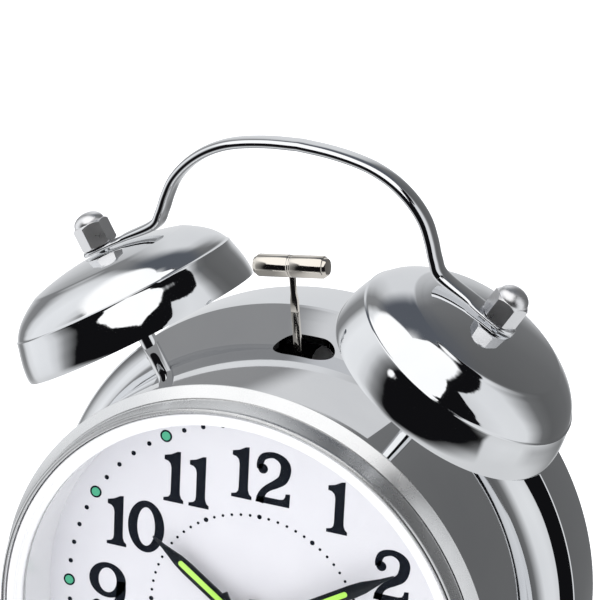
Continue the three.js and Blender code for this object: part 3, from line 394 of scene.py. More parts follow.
def holdCaseShading(piece):   # keeps the drum's own normals beside the slot
    flare = smoothLine(caseShape["flare"], 6)
    corners = []
    for face in piece.data.polygons:
        for corner in face.loop_indices:
            spot = (piece.data.vertices[piece.data.loops[corner].vertex_index].co - dialCentre) / mm
            radius, slope = math.hypot(spot.x, spot.z), 0.0
            if spot.y > 17.5:
                below = max((i for i, p in enumerate(flare) if p.y <= spot.y), default=0)
                a, b = flare[max(below - 1, 0)], flare[min(below + 1, len(flare) - 1)]
                slope = (b.x - a.x) / (b.y - a.y)
            wanted = Vector((spot.x / radius, -slope, spot.z / radius)).normalized()
            outside = radius > caseShape["body"] - 0.3 and -7 < spot.y < 25.5 and radius < 55.6
            corners.append(wanted if outside and wanted.dot(face.normal) > 0.98 else Vector((0, 0, 0)))
    piece.data.normals_split_custom_set(corners)


makeCase()


# ---- front ring, rim, lens, dial wall ----
frontShape = {
    "steps": 288,
    "bezel": [(49.0, -13.95), (49.12, -14.3), (49.3, -14.45), (49.55, -14.5), (49.82, -14.38), (50.0, -14.1),
              (50.08, -13.7), (50.42, -10.35), (50.5, -10.1), (50.75, -10.0), (52.05, -8.35), (52.45, -7.95),
              (52.62, -7.75), (52.65, -7.5), (50.65, -7.5), (50.65, -3.5), (49.0, -3.5)],
    "rim": [(46.0, -12.05), (46.0, -12.4), (46.12, -12.6), (46.4, -12.76), (46.95, -13.02), (47.0, -13.1),
            (47.35, -13.28), (47.4, -13.36), (48.3, -13.78), (48.62, -13.84),
            (48.8, -13.7), (48.85, -13.4), (48.85, -12.0), (46.0, -12.0)],
    "lens": [(0, -12.0), (48.5, -12.0), (48.7, -11.8), (48.7, -11.0), (48.5, -10.8), (0, -10.8)],
    "wall": [(46.0, -10.8), (48.7, -10.8), (48.7, 0), (46.0, 0)],
    "dial": [(3.85, 0), (48.7, 0), (48.7, 0.8), (3.85, 0.8)],
}


def makeFront():
    steps = frontShape["steps"]
    for shape, node, name in (("bezel", "front_bezel", "bezelRing"), ("rim", "rim_ring", "rimRing"),
                              ("wall", "dial_wall", "wallRing"), ("dial", "dial", "dialCard")):
        ring = spun(frontShape[shape], steps, closed=True)
        look = satinPlate if shape == "bezel" else looks[slotOfNode[node]]
        finishPiece(name, ring, fromDial(), look, [node], smooth=22)
    lens = spun(frontShape["lens"], steps)
    glass = finishPiece("lensDisc", lens, fromDial(), looks["lens_clear"], ["front_lens"], smooth=22)
    glass.visible_shadow = False


makeFront()
print("case and front made")


# ---- dial print ----
printShape = {
    "lift": 0.04,            # ink stands this far off the card
    "numeralHeight": 11.1,
    "gaps": {10: 0.02, 11: 0.1, 12: 0.075},
    "numeralRadius": {10: 31.1, 11: 32.0, 12: 31.7},
    "oneDigitRadius": 32.9,
    "minuteRing": 41.62,
    "minuteDot": 0.5,
    "hourDot": 1.3,
    "hourSpot": 0.92,
    "innerRing": 22.96,
    "innerDots": 72,
    "innerHourDot": 0.5,
    "innerDot": 0.3,
}

# Each digit, one unit tall: width, then its plates, strokes (x, z, half width), rings and balls.
digits = {
    "1": (0.4, {"plates": [[(0, 0), (0.397, 0), (0.397, 0.06), (0.35, 0.1), (0.324, 0.17), (0.319, 0.26),
                            (0.319, 1), (0.25, 0.99), (0.2, 0.96), (0.125, 0.918), (0, 0.885), (0, 0.8),
                            (0.07, 0.785), (0.12, 0.74), (0.14, 0.66), (0.14, 0.2), (0.13, 0.135),
                            (0.095, 0.088), (0, 0.062)]]}),
    "2": (0.658, {"strokes": [[(0.055, 0.64, 0.055), (0.062, 0.76, 0.064), (0.125, 0.885, 0.064),
                               (0.30, 0.944, 0.057), (0.46, 0.895, 0.075), (0.545, 0.79, 0.097),
                               (0.551, 0.66, 0.101), (0.50, 0.51, 0.093), (0.37, 0.40, 0.078),
                               (0.25, 0.32, 0.066), (0.155, 0.23, 0.064), (0.10, 0.12, 0.071),
                               (0.075, 0.0, 0.075)]],
                  "plates": [[(0, 0), (0.653, 0), (0.658, 0.262), (0.572, 0.252), (0.56, 0.185),
                              (0.53, 0.14), (0.46, 0.124), (0.15, 0.122), (0.02, 0.122)]],
                  "balls": [(0.118, 0.653, 0.094)]}),
    "3": (0.64, {"strokes": [[(0.05, 0.77, 0.04), (0.09, 0.88, 0.055), (0.25, 0.947, 0.053),
                              (0.41, 0.90, 0.075), (0.475, 0.77, 0.095), (0.41, 0.63, 0.075),
                              (0.22, 0.545, 0.04)],
                             [(0.22, 0.545, 0.04), (0.42, 0.50, 0.075), (0.54, 0.33, 0.1),
                              (0.50, 0.15, 0.093), (0.33, 0.05, 0.05), (0.16, 0.06, 0.052),
                              (0.055, 0.16, 0.045)]],
                 "balls": [(0.12, 0.77, 0.095), (0.12, 0.21, 0.1)]}),
    "4": (0.68, {"plates": [[(0.34, 0.06), (0.53, 0.06), (0.53, 1), (0.38, 1), (0.34, 0.93)],
                            [(0, 0.24), (0.68, 0.24), (0.68, 0.34), (0, 0.34)],
                            [(0, 0.29), (0.1, 0.29), (0.46, 1), (0.38, 1)],
                            [(0.22, 0), (0.65, 0), (0.65, 0.06), (0.57, 0.09), (0.3, 0.09), (0.22, 0.06)]]}),
    "5": (0.66, {"strokes": [[(0.10, 0.49, 0.035), (0.22, 0.58, 0.05), (0.38, 0.58, 0.07),
                              (0.53, 0.47, 0.095), (0.56, 0.30, 0.1), (0.49, 0.13, 0.087),
                              (0.33, 0.05, 0.05), (0.16, 0.06, 0.052), (0.055, 0.16, 0.045)]],
                 "plates": [[(0.09, 0.46), (0.14, 0.5), (0.16, 0.83), (0.5, 0.83), (0.56, 1), (0.09, 1)]],
                 "balls": [(0.12, 0.21, 0.1)]}),
    "7": (0.64, {"strokes": [[(0.59, 0.93, 0.045), (0.45, 0.66, 0.075), (0.34, 0.42, 0.09),
                              (0.3, 0.2, 0.1), (0.295, 0.0, 0.105)]],
                 "plates": [[(0, 0.7), (0.075, 0.7), (0.11, 0.8), (0.2, 0.84), (0.57, 0.84), (0.64, 0.96),
                             (0.64, 1), (0, 1)]]}),
    "8": (0.68, {"rings": [((0.34, 0.745), (0.285, 0.26), (0.125, 0.172)),
                           ((0.34, 0.275), (0.34, 0.28), (0.155, 0.178))]}),
    "9": (0.752, {"rings": [((0.376, 0.665), (0.376, 0.351), (0.184, 0.247))],
                  "strokes": [[(0.655, 0.69, 0.088), (0.658, 0.5, 0.094), (0.63, 0.33, 0.09),
                               (0.54, 0.17, 0.067), (0.40, 0.06, 0.048), (0.23, 0.045, 0.046),
                               (0.13, 0.11, 0.04)]],
                  "balls": [(0.175, 0.14, 0.098)]}),
    "0": (0.73, {"rings": [((0.365, 0.5), (0.365, 0.51), (0.178, 0.38))]}),
}


def inkPlate(bm, corners):
    bm.faces.new([bm.verts.new((x, 0, z)) for x, z in corners])


def inkBall(bm, x, z, radius, segments=24):
    bmesh.ops.create_circle(bm, cap_ends=True, radius=radius, segments=segments,
                            matrix=Matrix.Translation((x, 0, z)) @ Matrix.Rotation(math.pi / 2, 4, "X"))


def inkRing(bm, centre, outer, inner, segments=48):
    loops = []
    for width, height in (outer, inner):
        around = [(centre[0] + width * math.cos(a), 0, centre[1] + height * math.sin(a))
                  for a in (2 * math.pi * i / segments for i in range(segments))]
        loops += wire(bm, around, closed=True)[1]
    bmesh.ops.bridge_loops(bm, edges=loops)


def inkStroke(bm, pen):
    line = smoothLine(pen, 6)
    sides = ([], [])
    for i, (x, z, half) in enumerate(line):
        ahead, behind = line[min(i + 1, len(line) - 1)], line[max(i - 1, 0)]
        along = Vector((ahead.x - behind.x, 0, ahead.y - behind.y)).normalized()
        out = Vector((-along.z, 0, along.x)) * half
        for side, turn in zip(sides, (1, -1)):
            side.append(Vector((x, 0, z)) + out * turn)
    edges = [edge for side in sides for edge in wire(bm, side)[1]]
    bmesh.ops.bridge_loops(bm, edges=edges)


def drawDigit(bm, digit, left, turned=False):
    width, shapes = digits[digit]
    glyph = bmesh.new()
    for corners in shapes.get("plates", []):
        inkPlate(glyph, corners)
    for pen in shapes.get("strokes", []):
        inkStroke(glyph, pen)
    for ring in shapes.get("rings", []):
        inkRing(glyph, *ring)
    for ball in shapes.get("balls", []):
        inkBall(glyph, *ball)
    if turned:   # a six is a nine turned half round
        bmesh.ops.rotate(glyph, verts=glyph.verts, cent=(width / 2, 0, 0.5),
                         matrix=Matrix.Rotation(math.pi, 3, "Y"))
    bmesh.ops.translate(glyph, verts=glyph.verts, vec=(left, 0, 0))
    mesh = bpy.data.meshes.new("glyph")
    glyph.to_mesh(mesh)
    glyph.free()
    bm.from_mesh(mesh)
    bpy.data.meshes.remove(mesh)
    return width


def thickened(bm, height):   # flat ink given a body, its face towards the front
    for face in bm.faces:
        face.normal_update()
        if face.normal.y > 0:
            face.normal_flip()
    raised = bmesh.ops.extrude_face_region(bm, geom=bm.faces[:], use_keep_orig=True)["geom"]
    corners = [v for v in raised if isinstance(v, bmesh.types.BMVert)]
    bmesh.ops.translate(bm, vec=(0, -height, 0), verts=corners)
    bmesh.ops.recalc_face_normals(bm, faces=bm.faces)
    return bm


def drawNumber(hour):
    bm = bmesh.new()
    left, gap = 0, printShape["gaps"].get(hour, 0)
    for digit in str(hour):
        left += drawDigit(bm, "9" if digit == "6" else digit, left, digit == "6") + gap
    width = left - gap
    size = printShape["numeralHeight"]
    radius = printShape["numeralRadius"].get(hour, printShape["oneDigitRadius"])
    angle = math.radians(30 * hour)
    bm.transform(Matrix.Translation((radius * math.sin(angle), 0, radius * math.cos(angle)))
                 @ Matrix.Scale(size, 4) @ Matrix.Translation((-width / 2, 0, -0.5)))
    finishPiece(f"numeral_{hour}", thickened(bm, printShape["lift"]), fromDial(), dialInk,
                body="clock")


def drawDots():
    black, green = bmesh.new(), bmesh.new()
    for minute in range(60):
        angle = math.radians(6 * minute)
        x, z = printShape["minuteRing"] * math.sin(angle), printShape["minuteRing"] * math.cos(angle)
        if minute % 5:
            inkBall(black, x, z, printShape["minuteDot"], 16)
        else:
            inkRing(black, (x, z), (printShape["hourDot"],) * 2, (printShape["hourSpot"],) * 2, 28)
            inkBall(green, x, z, printShape["hourSpot"], 28)
    for i in range(printShape["innerDots"]):
        angle = 2 * math.pi * i / printShape["innerDots"]
        x, z = printShape["innerRing"] * math.sin(angle), printShape["innerRing"] * math.cos(angle)
        inkBall(black, x, z, printShape["innerDot"] if i % 6 else printShape["innerHourDot"], 16)
    finishPiece("dialDots", thickened(black, printShape["lift"]), fromDial(), dialInk,
                body="clock")
    finishPiece("glowDots", thickened(green, printShape["lift"] * 1.5), fromDial(), greenPaint,
                body="clock")


for hour in range(1, 13):
    drawNumber(hour)
drawDots()
print("dial printed")


# ---- hands ----
handShape = {
    "thickness": 0.45,
    "edge": 0.1,
    "hour": {"length": 26.5, "width": 3.0, "tail": 3.5, "boss": 4.0, "depth": -3.0, "angle": -55.1,
             "lume": (6.5, 19.2, 0.62), "bore": 2.5},
    "minute": {"length": 35.5, "width": 2.8, "tail": 5.0, "boss": 3.2, "depth": -4.4, "angle": 58.5,
               "lume": (8.0, 24.6, 0.58), "bore": 1.6},
}


def pillOutline(start, end, half):
    turn = [math.radians(15 * i) for i in range(13)]
    return ([(half * math.cos(a), end - half + half * math.sin(a)) for a in turn]
            + [(-half * math.cos(a), start + half - half * math.sin(a)) for a in turn])


def handBlade(shape):
    width, length = shape["width"], shape["length"]
    side = [(width * 0.4, -shape["tail"]), (width * 0.5, length * 0.25), (width * 0.5, length - 9.5),
            (width * 0.44, length - 7.0), (width * 0.3, length - 5.0), (width * 0.17, length - 3.0),
            (width * 0.05, length)]
    return side + [(-x, z) for x, z in reversed(side)]


def makeHand(name, node, lumeNode, shape):
    place = fromDial(0, shape["depth"]) @ Matrix.Rotation(math.radians(shape["angle"]), 4, "Y")
    thick = handShape["thickness"]
    blade = bmesh.new()
    inkPlate(blade, handBlade(shape))
    blade = softEdges(thickened(blade, thick), handShape["edge"])
    boss = spun([(shape["bore"], -thick), (shape["boss"] - 0.12, -thick), (shape["boss"], -thick + 0.12),
                 (shape["boss"], 0), (shape["bore"], 0)], 64, closed=True)
    whole = combined(blade, boss, "UNION")
    bmesh.ops.translate(whole, vec=(0, thick, 0), verts=whole.verts)
    finishPiece(name, whole, place, looks["hand_black"], [node])
    strip = bmesh.new()
    inkPlate(strip, pillOutline(*shape["lume"]))
    strip = softEdges(thickened(strip, 0.12), 0.05)
    bmesh.ops.translate(strip, vec=(0, 0.04, 0), verts=strip.verts)
    finishPiece(name + "Glow", strip, place, looks["lume"], [lumeNode])


makeHand("hourHand", "hour_hand", "hour_lume", handShape["hour"])
makeHand("minuteHand", "minute_hand", "minute_lume", handShape["minute"])
print("hands made")


# ---- bells ----
bellShape = {
    "steps": 256,
    "tilt": 31.6,
    "fromDial": 62.2,
    "depth": 12.1,
    "wall": 1.1,
    "lip": [(25.05, 0.0), (25.15, 0.5), (25.2, 1.2), (25.12, 2.4), (24.9, 4.0), (24.5, 5.8), (24.1, 7.3),
            (23.9, 8.2)],
    "ledge": [(23.88, 8.42), (23.72, 8.55), (23.55, 8.66)],
    "flank": [(23.42, 8.95), (23.05, 9.6), (22.3, 10.65), (21.2, 11.8), (19.8, 12.92), (18.3, 13.92),
              (17.25, 14.52)],
    "shoulder": [(16.95, 14.7), (16.6, 14.87), (16.2, 15.0)],
    "crown": [(15.6, 15.19), (13.5, 15.77), (11.0, 16.33), (8.0, 16.84), (4.8, 17.2), (1.6, 17.38)],
}


def onBell(side, height=0):
    tilt = math.radians(bellShape["tilt"])
    axis = Vector((side * math.sin(tilt), 0, math.cos(tilt)))
    foot = axis * bellShape["fromDial"]
    return alongAxis(axis, (foot.x, bellShape["depth"], foot.z)) @ Matrix.Translation((0, height, 0))


def makeBell(label, side):
    outside = [tuple(p) for name in ("lip", "ledge", "flank", "shoulder", "crown")
               for p in smoothLine(bellShape[name], 5 if name in ("lip", "flank", "crown") else 2)]
    inside = []
    for i, (radius, height) in enumerate(outside):
        ahead, behind = outside[min(i + 1, len(outside) - 1)], outside[max(i - 1, 0)]
        along = Vector((ahead[0] - behind[0], ahead[1] - behind[1])).normalized()
        inside.append((max(radius - along.y * bellShape["wall"], 1.6), height + along.x * bellShape["wall"]))
    inside[0] = (outside[0][0] - bellShape["wall"], 0.0)
    shell = spun(outside + inside[::-1], bellShape["steps"], closed=True)
    finishPiece(f"bell_{label}_shell", shell, onBell(side), looks["chrome"], [f"bell_{label}"], smooth=40)


# ---- posts and nuts ----
nutShape = {
    "across": 6.6,
    "hex": 5.0,
    "dome": 2.2,
    "base": 18.6,           # above the bell's rim
    "post": 1.75,
    "stud": 1.4,
    "turn": {"left": 0, "right": 30},
}


def hexPrism(across, height):
    bm = bmesh.new()
    upright = Matrix.Translation((0, height / 2, 0)) @ Matrix.Rotation(math.pi / 2, 4, "X")
    bmesh.ops.create_cone(bm, cap_ends=True, segments=6, radius1=across / math.sqrt(3),
                          radius2=across / math.sqrt(3), depth=height, matrix=upright)
    return bm


def makeNuts(label, side):
    across, hexHeight = nutShape["across"], nutShape["hex"]
    corner, flat = across / math.sqrt(3) + 0.02, across / 2
    chamfer = spun([(0, 0), (flat + 0.05, 0), (corner, 0.35), (corner, hexHeight - 0.5),
                    (flat - 0.1, hexHeight), (0, hexHeight)], 96)
    hexBody = combined(hexPrism(across, hexHeight), chamfer, "INTERSECT")
    crown = flat - 0.12
    arc = [(crown * math.cos(a), hexHeight + nutShape["dome"] * math.sin(a))
           for a in (math.radians(7.5 * i) for i in range(12))]
    sunk = hexHeight - 0.6
    dome = spun([(0, sunk), (crown, sunk)] + arc + [(0, hexHeight + nutShape["dome"])], 96)
    nut = combined(hexBody, dome, "UNION")
    turn = Matrix.Rotation(math.radians(nutShape["turn"][label]), 4, "Y")
    finishPiece(f"acornNut_{label}", nut, onBell(side, nutShape["base"]) @ turn, nutPlate,
                [f"cap_nut_{label}"], smooth=26)
    post, stud = nutShape["post"], nutShape["stud"]
    rod = spun([(0, -17.2), (post - 0.2, -17.2), (post, -17.0), (post, 0), (post, 16.2), (stud, 16.3),
                (stud, 18.4), (0, 18.4)], 64)
    finishPiece(f"post_{label}", rod, onBell(side), looks["chrome"], [f"bell_post_{label}"])


for label, side in (("left", -1), ("right", 1)):
    makeBell(label, side)
    makeNuts(label, side)
print("bells made")


# ---- handle ----
handleShape = {
    "width": 4.6,
    "thickness": 2.2,
    "tabWidth": 6.0,
    "tabThickness": 1.2,
    "tabEnd": 4.2,
    "rise": 23.85,
    "bend": [(0.177, 0.017), (0.338, 0.055), (0.459, 0.109), (0.571, 0.197), (0.669, 0.319),
             (0.743, 0.462), (0.785, 0.613), (0.816, 0.768), (0.858, 0.89)],
}


def tabSpot(inward, height):   # beside the right bell's axis, above its rim
    tilt = math.radians(bellShape["tilt"])
    reach = bellShape["fromDial"] + height
    return Vector((reach * math.sin(tilt) - inward * math.cos(tilt),
                   reach * math.cos(tilt) + inward * math.sin(tilt)))


def handleLine():   # half of the bar as (x, z, width, thickness)
    crown = nutShape["base"] - handleShape["tabThickness"] / 2
    wide, thick = handleShape["width"], handleShape["thickness"]
    rise, tabWide = handleShape["rise"], handleShape["tabWidth"]
    end = tabSpot(7.8, crown + 0.25)
    top = end.y + rise
    bar = [(0, top, wide, thick)]
    bar += [(out * end.x, top - down * rise, wide, thick) for out, down in handleShape["bend"]]
    for inward, width, share in ((7.0, wide + 0.3, 0.75), (5.2, wide + 1.0, 0.6), (3.5, tabWide, 0.55),
                                 (0, tabWide, 0.55)):
        spot = tabSpot(inward, crown)
        bar.append((spot.x, spot.y, width, thick * share))
    return bar


def barSection(middle, out, width, thick):   # an oval, fuller on the inside
    across = Vector((0, 1, 0))
    points = []
    for i in range(40):
        a = 2 * math.pi * i / 40
        power = 2 / (2.15 if math.sin(a) > 0 else 3.2)
        points.append((width / 2 * math.copysign(abs(math.cos(a)) ** power, math.cos(a)),
                       thick / 2 * math.copysign(abs(math.sin(a)) ** power, math.sin(a))))
    return [middle + across * a + out * b for a, b in points]


def sweepBar(name, line, stands):
    bm = bmesh.new()
    rows = []
    for i, (x, z, width, thick) in enumerate(line):
        ahead, behind = line[min(i + 1, len(line) - 1)], line[max(i - 1, 0)]
        along = Vector((ahead[0] - behind[0], 0, ahead[1] - behind[1])).normalized()
        out = Vector((-along.z, 0, along.x))
        rows.append(barSection(Vector((x, bellShape["depth"], z)), out, width, thick))
    loops = [wire(bm, row, closed=True)[1] for row in rows]
    for first, second in zip(loops, loops[1:]):
        bmesh.ops.bridge_loops(bm, edges=first + second)
    for loop in (loops[0], loops[-1]):
        bmesh.ops.contextual_create(bm, geom=loop)
    tidyFaces(bm)
    finishPiece(name, bm, fromDial(), looks["chrome"], stands, body="clock", smooth=50)


def makeHandle():
    half = smoothLine(handleLine(), 8)
    crown = nutShape["base"] - handleShape["tabThickness"] / 2
    radius, end = handleShape["tabWidth"] / 2, handleShape["tabEnd"]
    for i in range(1, 13):   # the tab's round end
        a = math.radians(7.4 * i)
        spot = tabSpot(-(end - radius) - radius * math.sin(a), crown)
        half.append(Vector((spot.x, spot.y, 2 * radius * math.cos(a), half[-1][3])))
    split = 8 * len(handleShape["bend"])
    bar = half[:split + 1]
    sweepBar("handleBar", [Vector((-p[0], *p[1:])) for p in reversed(bar[1:])] + bar, ["handle"])
    tab = half[split:]
    sweepBar("handleTab_right", tab, [])
    sweepBar("handleTab_left", [Vector((-p[0], *p[1:])) for p in reversed(tab)], [])


makeHandle()
print("handle made")


# ---- hammer ----
hammerShape = {
    "pivot": 44.0,
    "depth": 18.9,
    "lean": -7.7,
    "reach": 25.42,
    "headRadius": 2.3,
    "headLength": 15.9,
    "armWidth": 1.6,
    "armThickness": 0.9,
    "tail": 9.0,
}


def onHammer():
    return (fromDial(0, hammerShape["depth"], hammerShape["pivot"])
            @ Matrix.Rotation(math.radians(hammerShape["lean"]), 4, "Y"))


def makeHammer():
    radius, half = hammerShape["headRadius"], hammerShape["headLength"] / 2
    end = [(0, half), (radius * 0.55, half), (radius * 0.72, half - 0.1), (radius * 0.8, half - 0.35),
           (radius * 0.84, half - 0.75), (radius * 0.95, half - 0.85), (radius, half - 1.1)]
    seam = [(radius, 0.5), (radius * 0.985, 0.42), (radius * 0.93, 0.32), (radius * 0.93, 0.12),
            (radius * 0.985, 0.05)]
    profile = end + seam + [(r, -h) for r, h in reversed(end + seam)]
    head = spun(profile, 96)
    lift = Matrix.Translation((0, 0, hammerShape["reach"]))
    place = onHammer() @ lift @ Matrix.Rotation(math.pi / 2, 4, "Z")
    finishPiece("hammerHead", head, place, looks["nickel"], ["hammer_head"], smooth=28)
    strip = bmesh.new()
    width, thick = hammerShape["armWidth"] / 2, hammerShape["armThickness"]
    top = hammerShape["reach"] - radius + 0.25
    side = [(width, -hammerShape["tail"]), (width, -2.2), (2.4, -0.6), (2.4, 0.6), (width, 2.4),
            (width, top - 5), (width * 0.72, top - 3.5), (width * 0.72, top)]
    inkPlate(strip, side + [(-x, z) for x, z in reversed(side)])
    strip = thickened(strip, thick)
    tail = bmesh.new()
    inkPlate(tail, [(-2, -12), (4, -12), (4, -8), (-2, -8)])
    arm = combined(strip, thickened(tail, thick), "UNION")
    arm = softEdges(arm, 0.1)
    bmesh.ops.translate(arm, vec=(0, thick / 2, 0), verts=arm.verts)
    finishPiece("hammerStem", arm, onHammer(), looks["nickel"], ["hammer_arm"])


makeHammer()


# ---- feet ----
footShape = {
    "angle": 26.0,
    "depth": 3.0,
    "rubber": 3.0,
    "rearDepth": 34.0,
    "leg": [(0, 50.95), (4.0, 50.95), (4.4, 51.3), (4.4, 53.4), (4.25, 53.75), (3.7, 54.0), (3.55, 54.4),
            (3.62, 54.8), (3.95, 55.0), (3.9, 55.5), (3.6, 57.0), (3.05, 66), (3.0, 80), (0, 80)],
    "rear": [(0, -58.3), (3.6, -58.3), (3.6, -61.0), (3.4, -61.4), (3.35, -62.0), (3.5, -62.3), (3.2, -63.2),
             (3.02, -67.8), (0, -67.8)],
}


def flatCut(bm, height, keepAbove):   # cut level at a height above the table, in place
    geometry = bm.verts[:] + bm.edges[:] + bm.faces[:]
    result = bmesh.ops.bisect_plane(bm, geom=geometry, dist=1e-7, plane_co=(0, 0, height), plane_no=(0, 0, 1),
                                    clear_inner=keepAbove, clear_outer=not keepAbove)
    edges = [e for e in result["geom_cut"] if isinstance(e, bmesh.types.BMEdge)]
    bmesh.ops.contextual_create(bm, geom=edges)
    bmesh.ops.recalc_face_normals(bm, faces=bm.faces)


def makeFeet():
    rubber = footShape["rubber"] * mm
    unit = Matrix.Identity(4)
    for label, side in (("left", -1), ("right", 1)):
        angle = math.radians(footShape["angle"])
        place = alongAxis((side * math.sin(angle), 0, -math.cos(angle)), (0, footShape["depth"], 0))
        leg = spun(footShape["leg"], 72)
        leg.transform(place)
        flatCut(leg, rubber, True)
        finishPiece(f"leg_{label}", leg, unit, looks["chrome"], [f"front_foot_{label}"])
        tip = spun([(0, 70), (3.7, 70), (3.9, 73), (4.0, 77), (4.0, 84), (0, 84)], 72)
        tip.transform(place)
        flatCut(tip, rubber, False)
        flatCut(tip, 0, True)
        softEdges(tip, 0.3 * mm)
        finishPiece(f"tip_{label}", tip, unit, looks["rubber"], [f"foot_tip_{label}"])
    down = fromDial(0, footShape["rearDepth"], 0) @ Matrix.Rotation(math.pi / 2, 4, "X")
    finishPiece("leg_rear", spun(footShape["rear"], 72), down, looks["chrome"], ["rear_foot"])
    tip = spun([(0, -67.8), (3.5, -67.8), (3.7, -68.0), (3.8, -70.5), (3.5, -70.8), (0, -70.8)], 72)
    finishPiece("tip_rear", tip, down, looks["rubber"], ["foot_tip_rear"])


makeFeet()
print("hammer and feet made")


# ---- moulded and stamped pieces kept to the frame's own shapes, with their edges softened ----
softened = {
    "back_cover": 0.25,
    "battery_door": 0.25,
    "time_knob": 0.2,
    "alarm_knob": 0.2,
    "alarm_switch": 0.2,
    "light_button": 0.15,
    "cover_screw_1": 0.06,
    "cover_screw_2": 0.06,
    "cover_screw_3": 0.06,
}


def softenNode(node, width):
    bm = bmesh.new()
    bm.from_mesh(frame["nodes"][node].data)
    bmesh.ops.remove_doubles(bm, verts=bm.verts, dist=2e-6)
    bmesh.ops.dissolve_limit(bm, angle_limit=math.radians(1), verts=bm.verts, edges=bm.edges)
    softEdges(bm, width * mm, 50)
    finishPiece(node + "_piece", bm, Matrix.Identity(4), looks[slotOfNode[node]], [node], smooth=35)


for node, width in softened.items():
    softenNode(node, width)
print("back made")


# ---- floor and light ----
studio = {
    "floorSize": 12.0,
    "floorTint": (0.92, 0.92, 0.92, 1),
    "floorLift": 0.5,
    "ceiling": 1.2,
    "slate": (0.105, 0.115, 0.135),
    "dark": (0.006, 0.006, 0.007),
    "ground": (0.73, 0.74, 0.75),
    "soft": ((0.17, 0.18, 0.24), (1.46, 1.46, 1.49)),     # on matt surfaces, away from and near the key
    "key": (-0.55, -0.40, 0.73),
    "ragged": 3.0,
    # light of the walls going round from the back by the left: degrees, level
    "walls": [(-180, 0.31), (-174, 0.57), (-165, 0.77), (-150, 0.77), (-140, 0.62), (-128, 0.26),
              (-118, 0.24), (-108, 0.80), (-95, 0.93), (-70, 0.89), (-58, 0.72), (-48, 0.31), (-38, 0.085),
              (-34, 0.003), (54, 0.003), (58, 0.75), (80, 0.84), (103, 0.81), (112, 0.47), (122, 0.165),
              (135, 0.125), (160, 0.15), (175, 0.19), (180, 0.31)],
    # where the ceiling starts, how softly, and the foot of the dark screen: all in degrees
    "edges": [(-180, 89, 20, 89), (-132, 88, 18, 89), (-118, 62, 14, 89), (-105, 48, 14, 89),
              (-90, 40, 14, 89), (-60, 32, 10, 89), (-42, 27, 6, 89), (-36, 18, 3, -26), (-20, 18, 2, -27),
              (8, 20, 2, -28), (24, 23, 2, -27), (30, 31, 2, -27), (42, 42, 2, -26), (50, 49, 2, -25),
              (55, 53, 3, -22), (58, 54, 3, 42), (88, 57, 4, 42), (100, 62, 5, 45), (112, 72, 8, 52),
              (122, 88, 14, 89), (180, 89, 20, 89)],
}


def value(tree, operation, *inputs):
    node = tree.nodes.new("ShaderNodeMath")
    node.operation = operation
    for socket, given in zip(node.inputs, inputs):
        if isinstance(given, bpy.types.NodeSocket):
            tree.links.new(given, socket)
        else:
            socket.default_value = given
    return node.outputs[0]


def stepped(tree, given, low, high):   # nothing below low, all above high
    node = tree.nodes.new("ShaderNodeMapRange")
    node.interpolation_type = "SMOOTHSTEP"
    for name, part in (("Value", given), ("From Min", low), ("From Max", high)):
        if isinstance(part, bpy.types.NodeSocket):
            tree.links.new(part, node.inputs[name])
        else:
            node.inputs[name].default_value = part
    return node.outputs["Result"]


def blended(tree, share, first, second):
    node = tree.nodes.new("ShaderNodeMix")
    node.data_type = "RGBA"
    for socket, given in ((node.inputs[0], share), (node.inputs[6], first), (node.inputs[7], second)):
        if isinstance(given, bpy.types.NodeSocket):
            tree.links.new(given, socket)
        else:
            socket.default_value = (*given, 1)
    return node.outputs[2]


def roundRamp(tree, turn, stops):   # stops in degrees from the front, right positive
    ramp = tree.nodes.new("ShaderNodeValToRGB")
    elements = ramp.color_ramp.elements
    while len(elements) < len(stops):
        elements.new(0.5)
    for element, (angle, colour) in zip(elements, stops):
        element.position = angle / 360 + 0.5
    for element, (angle, colour) in zip(elements, stops):
        element.color = (*colour, 1)
    tree.links.new(turn, ramp.inputs["Fac"])
    return ramp.outputs["Color"]


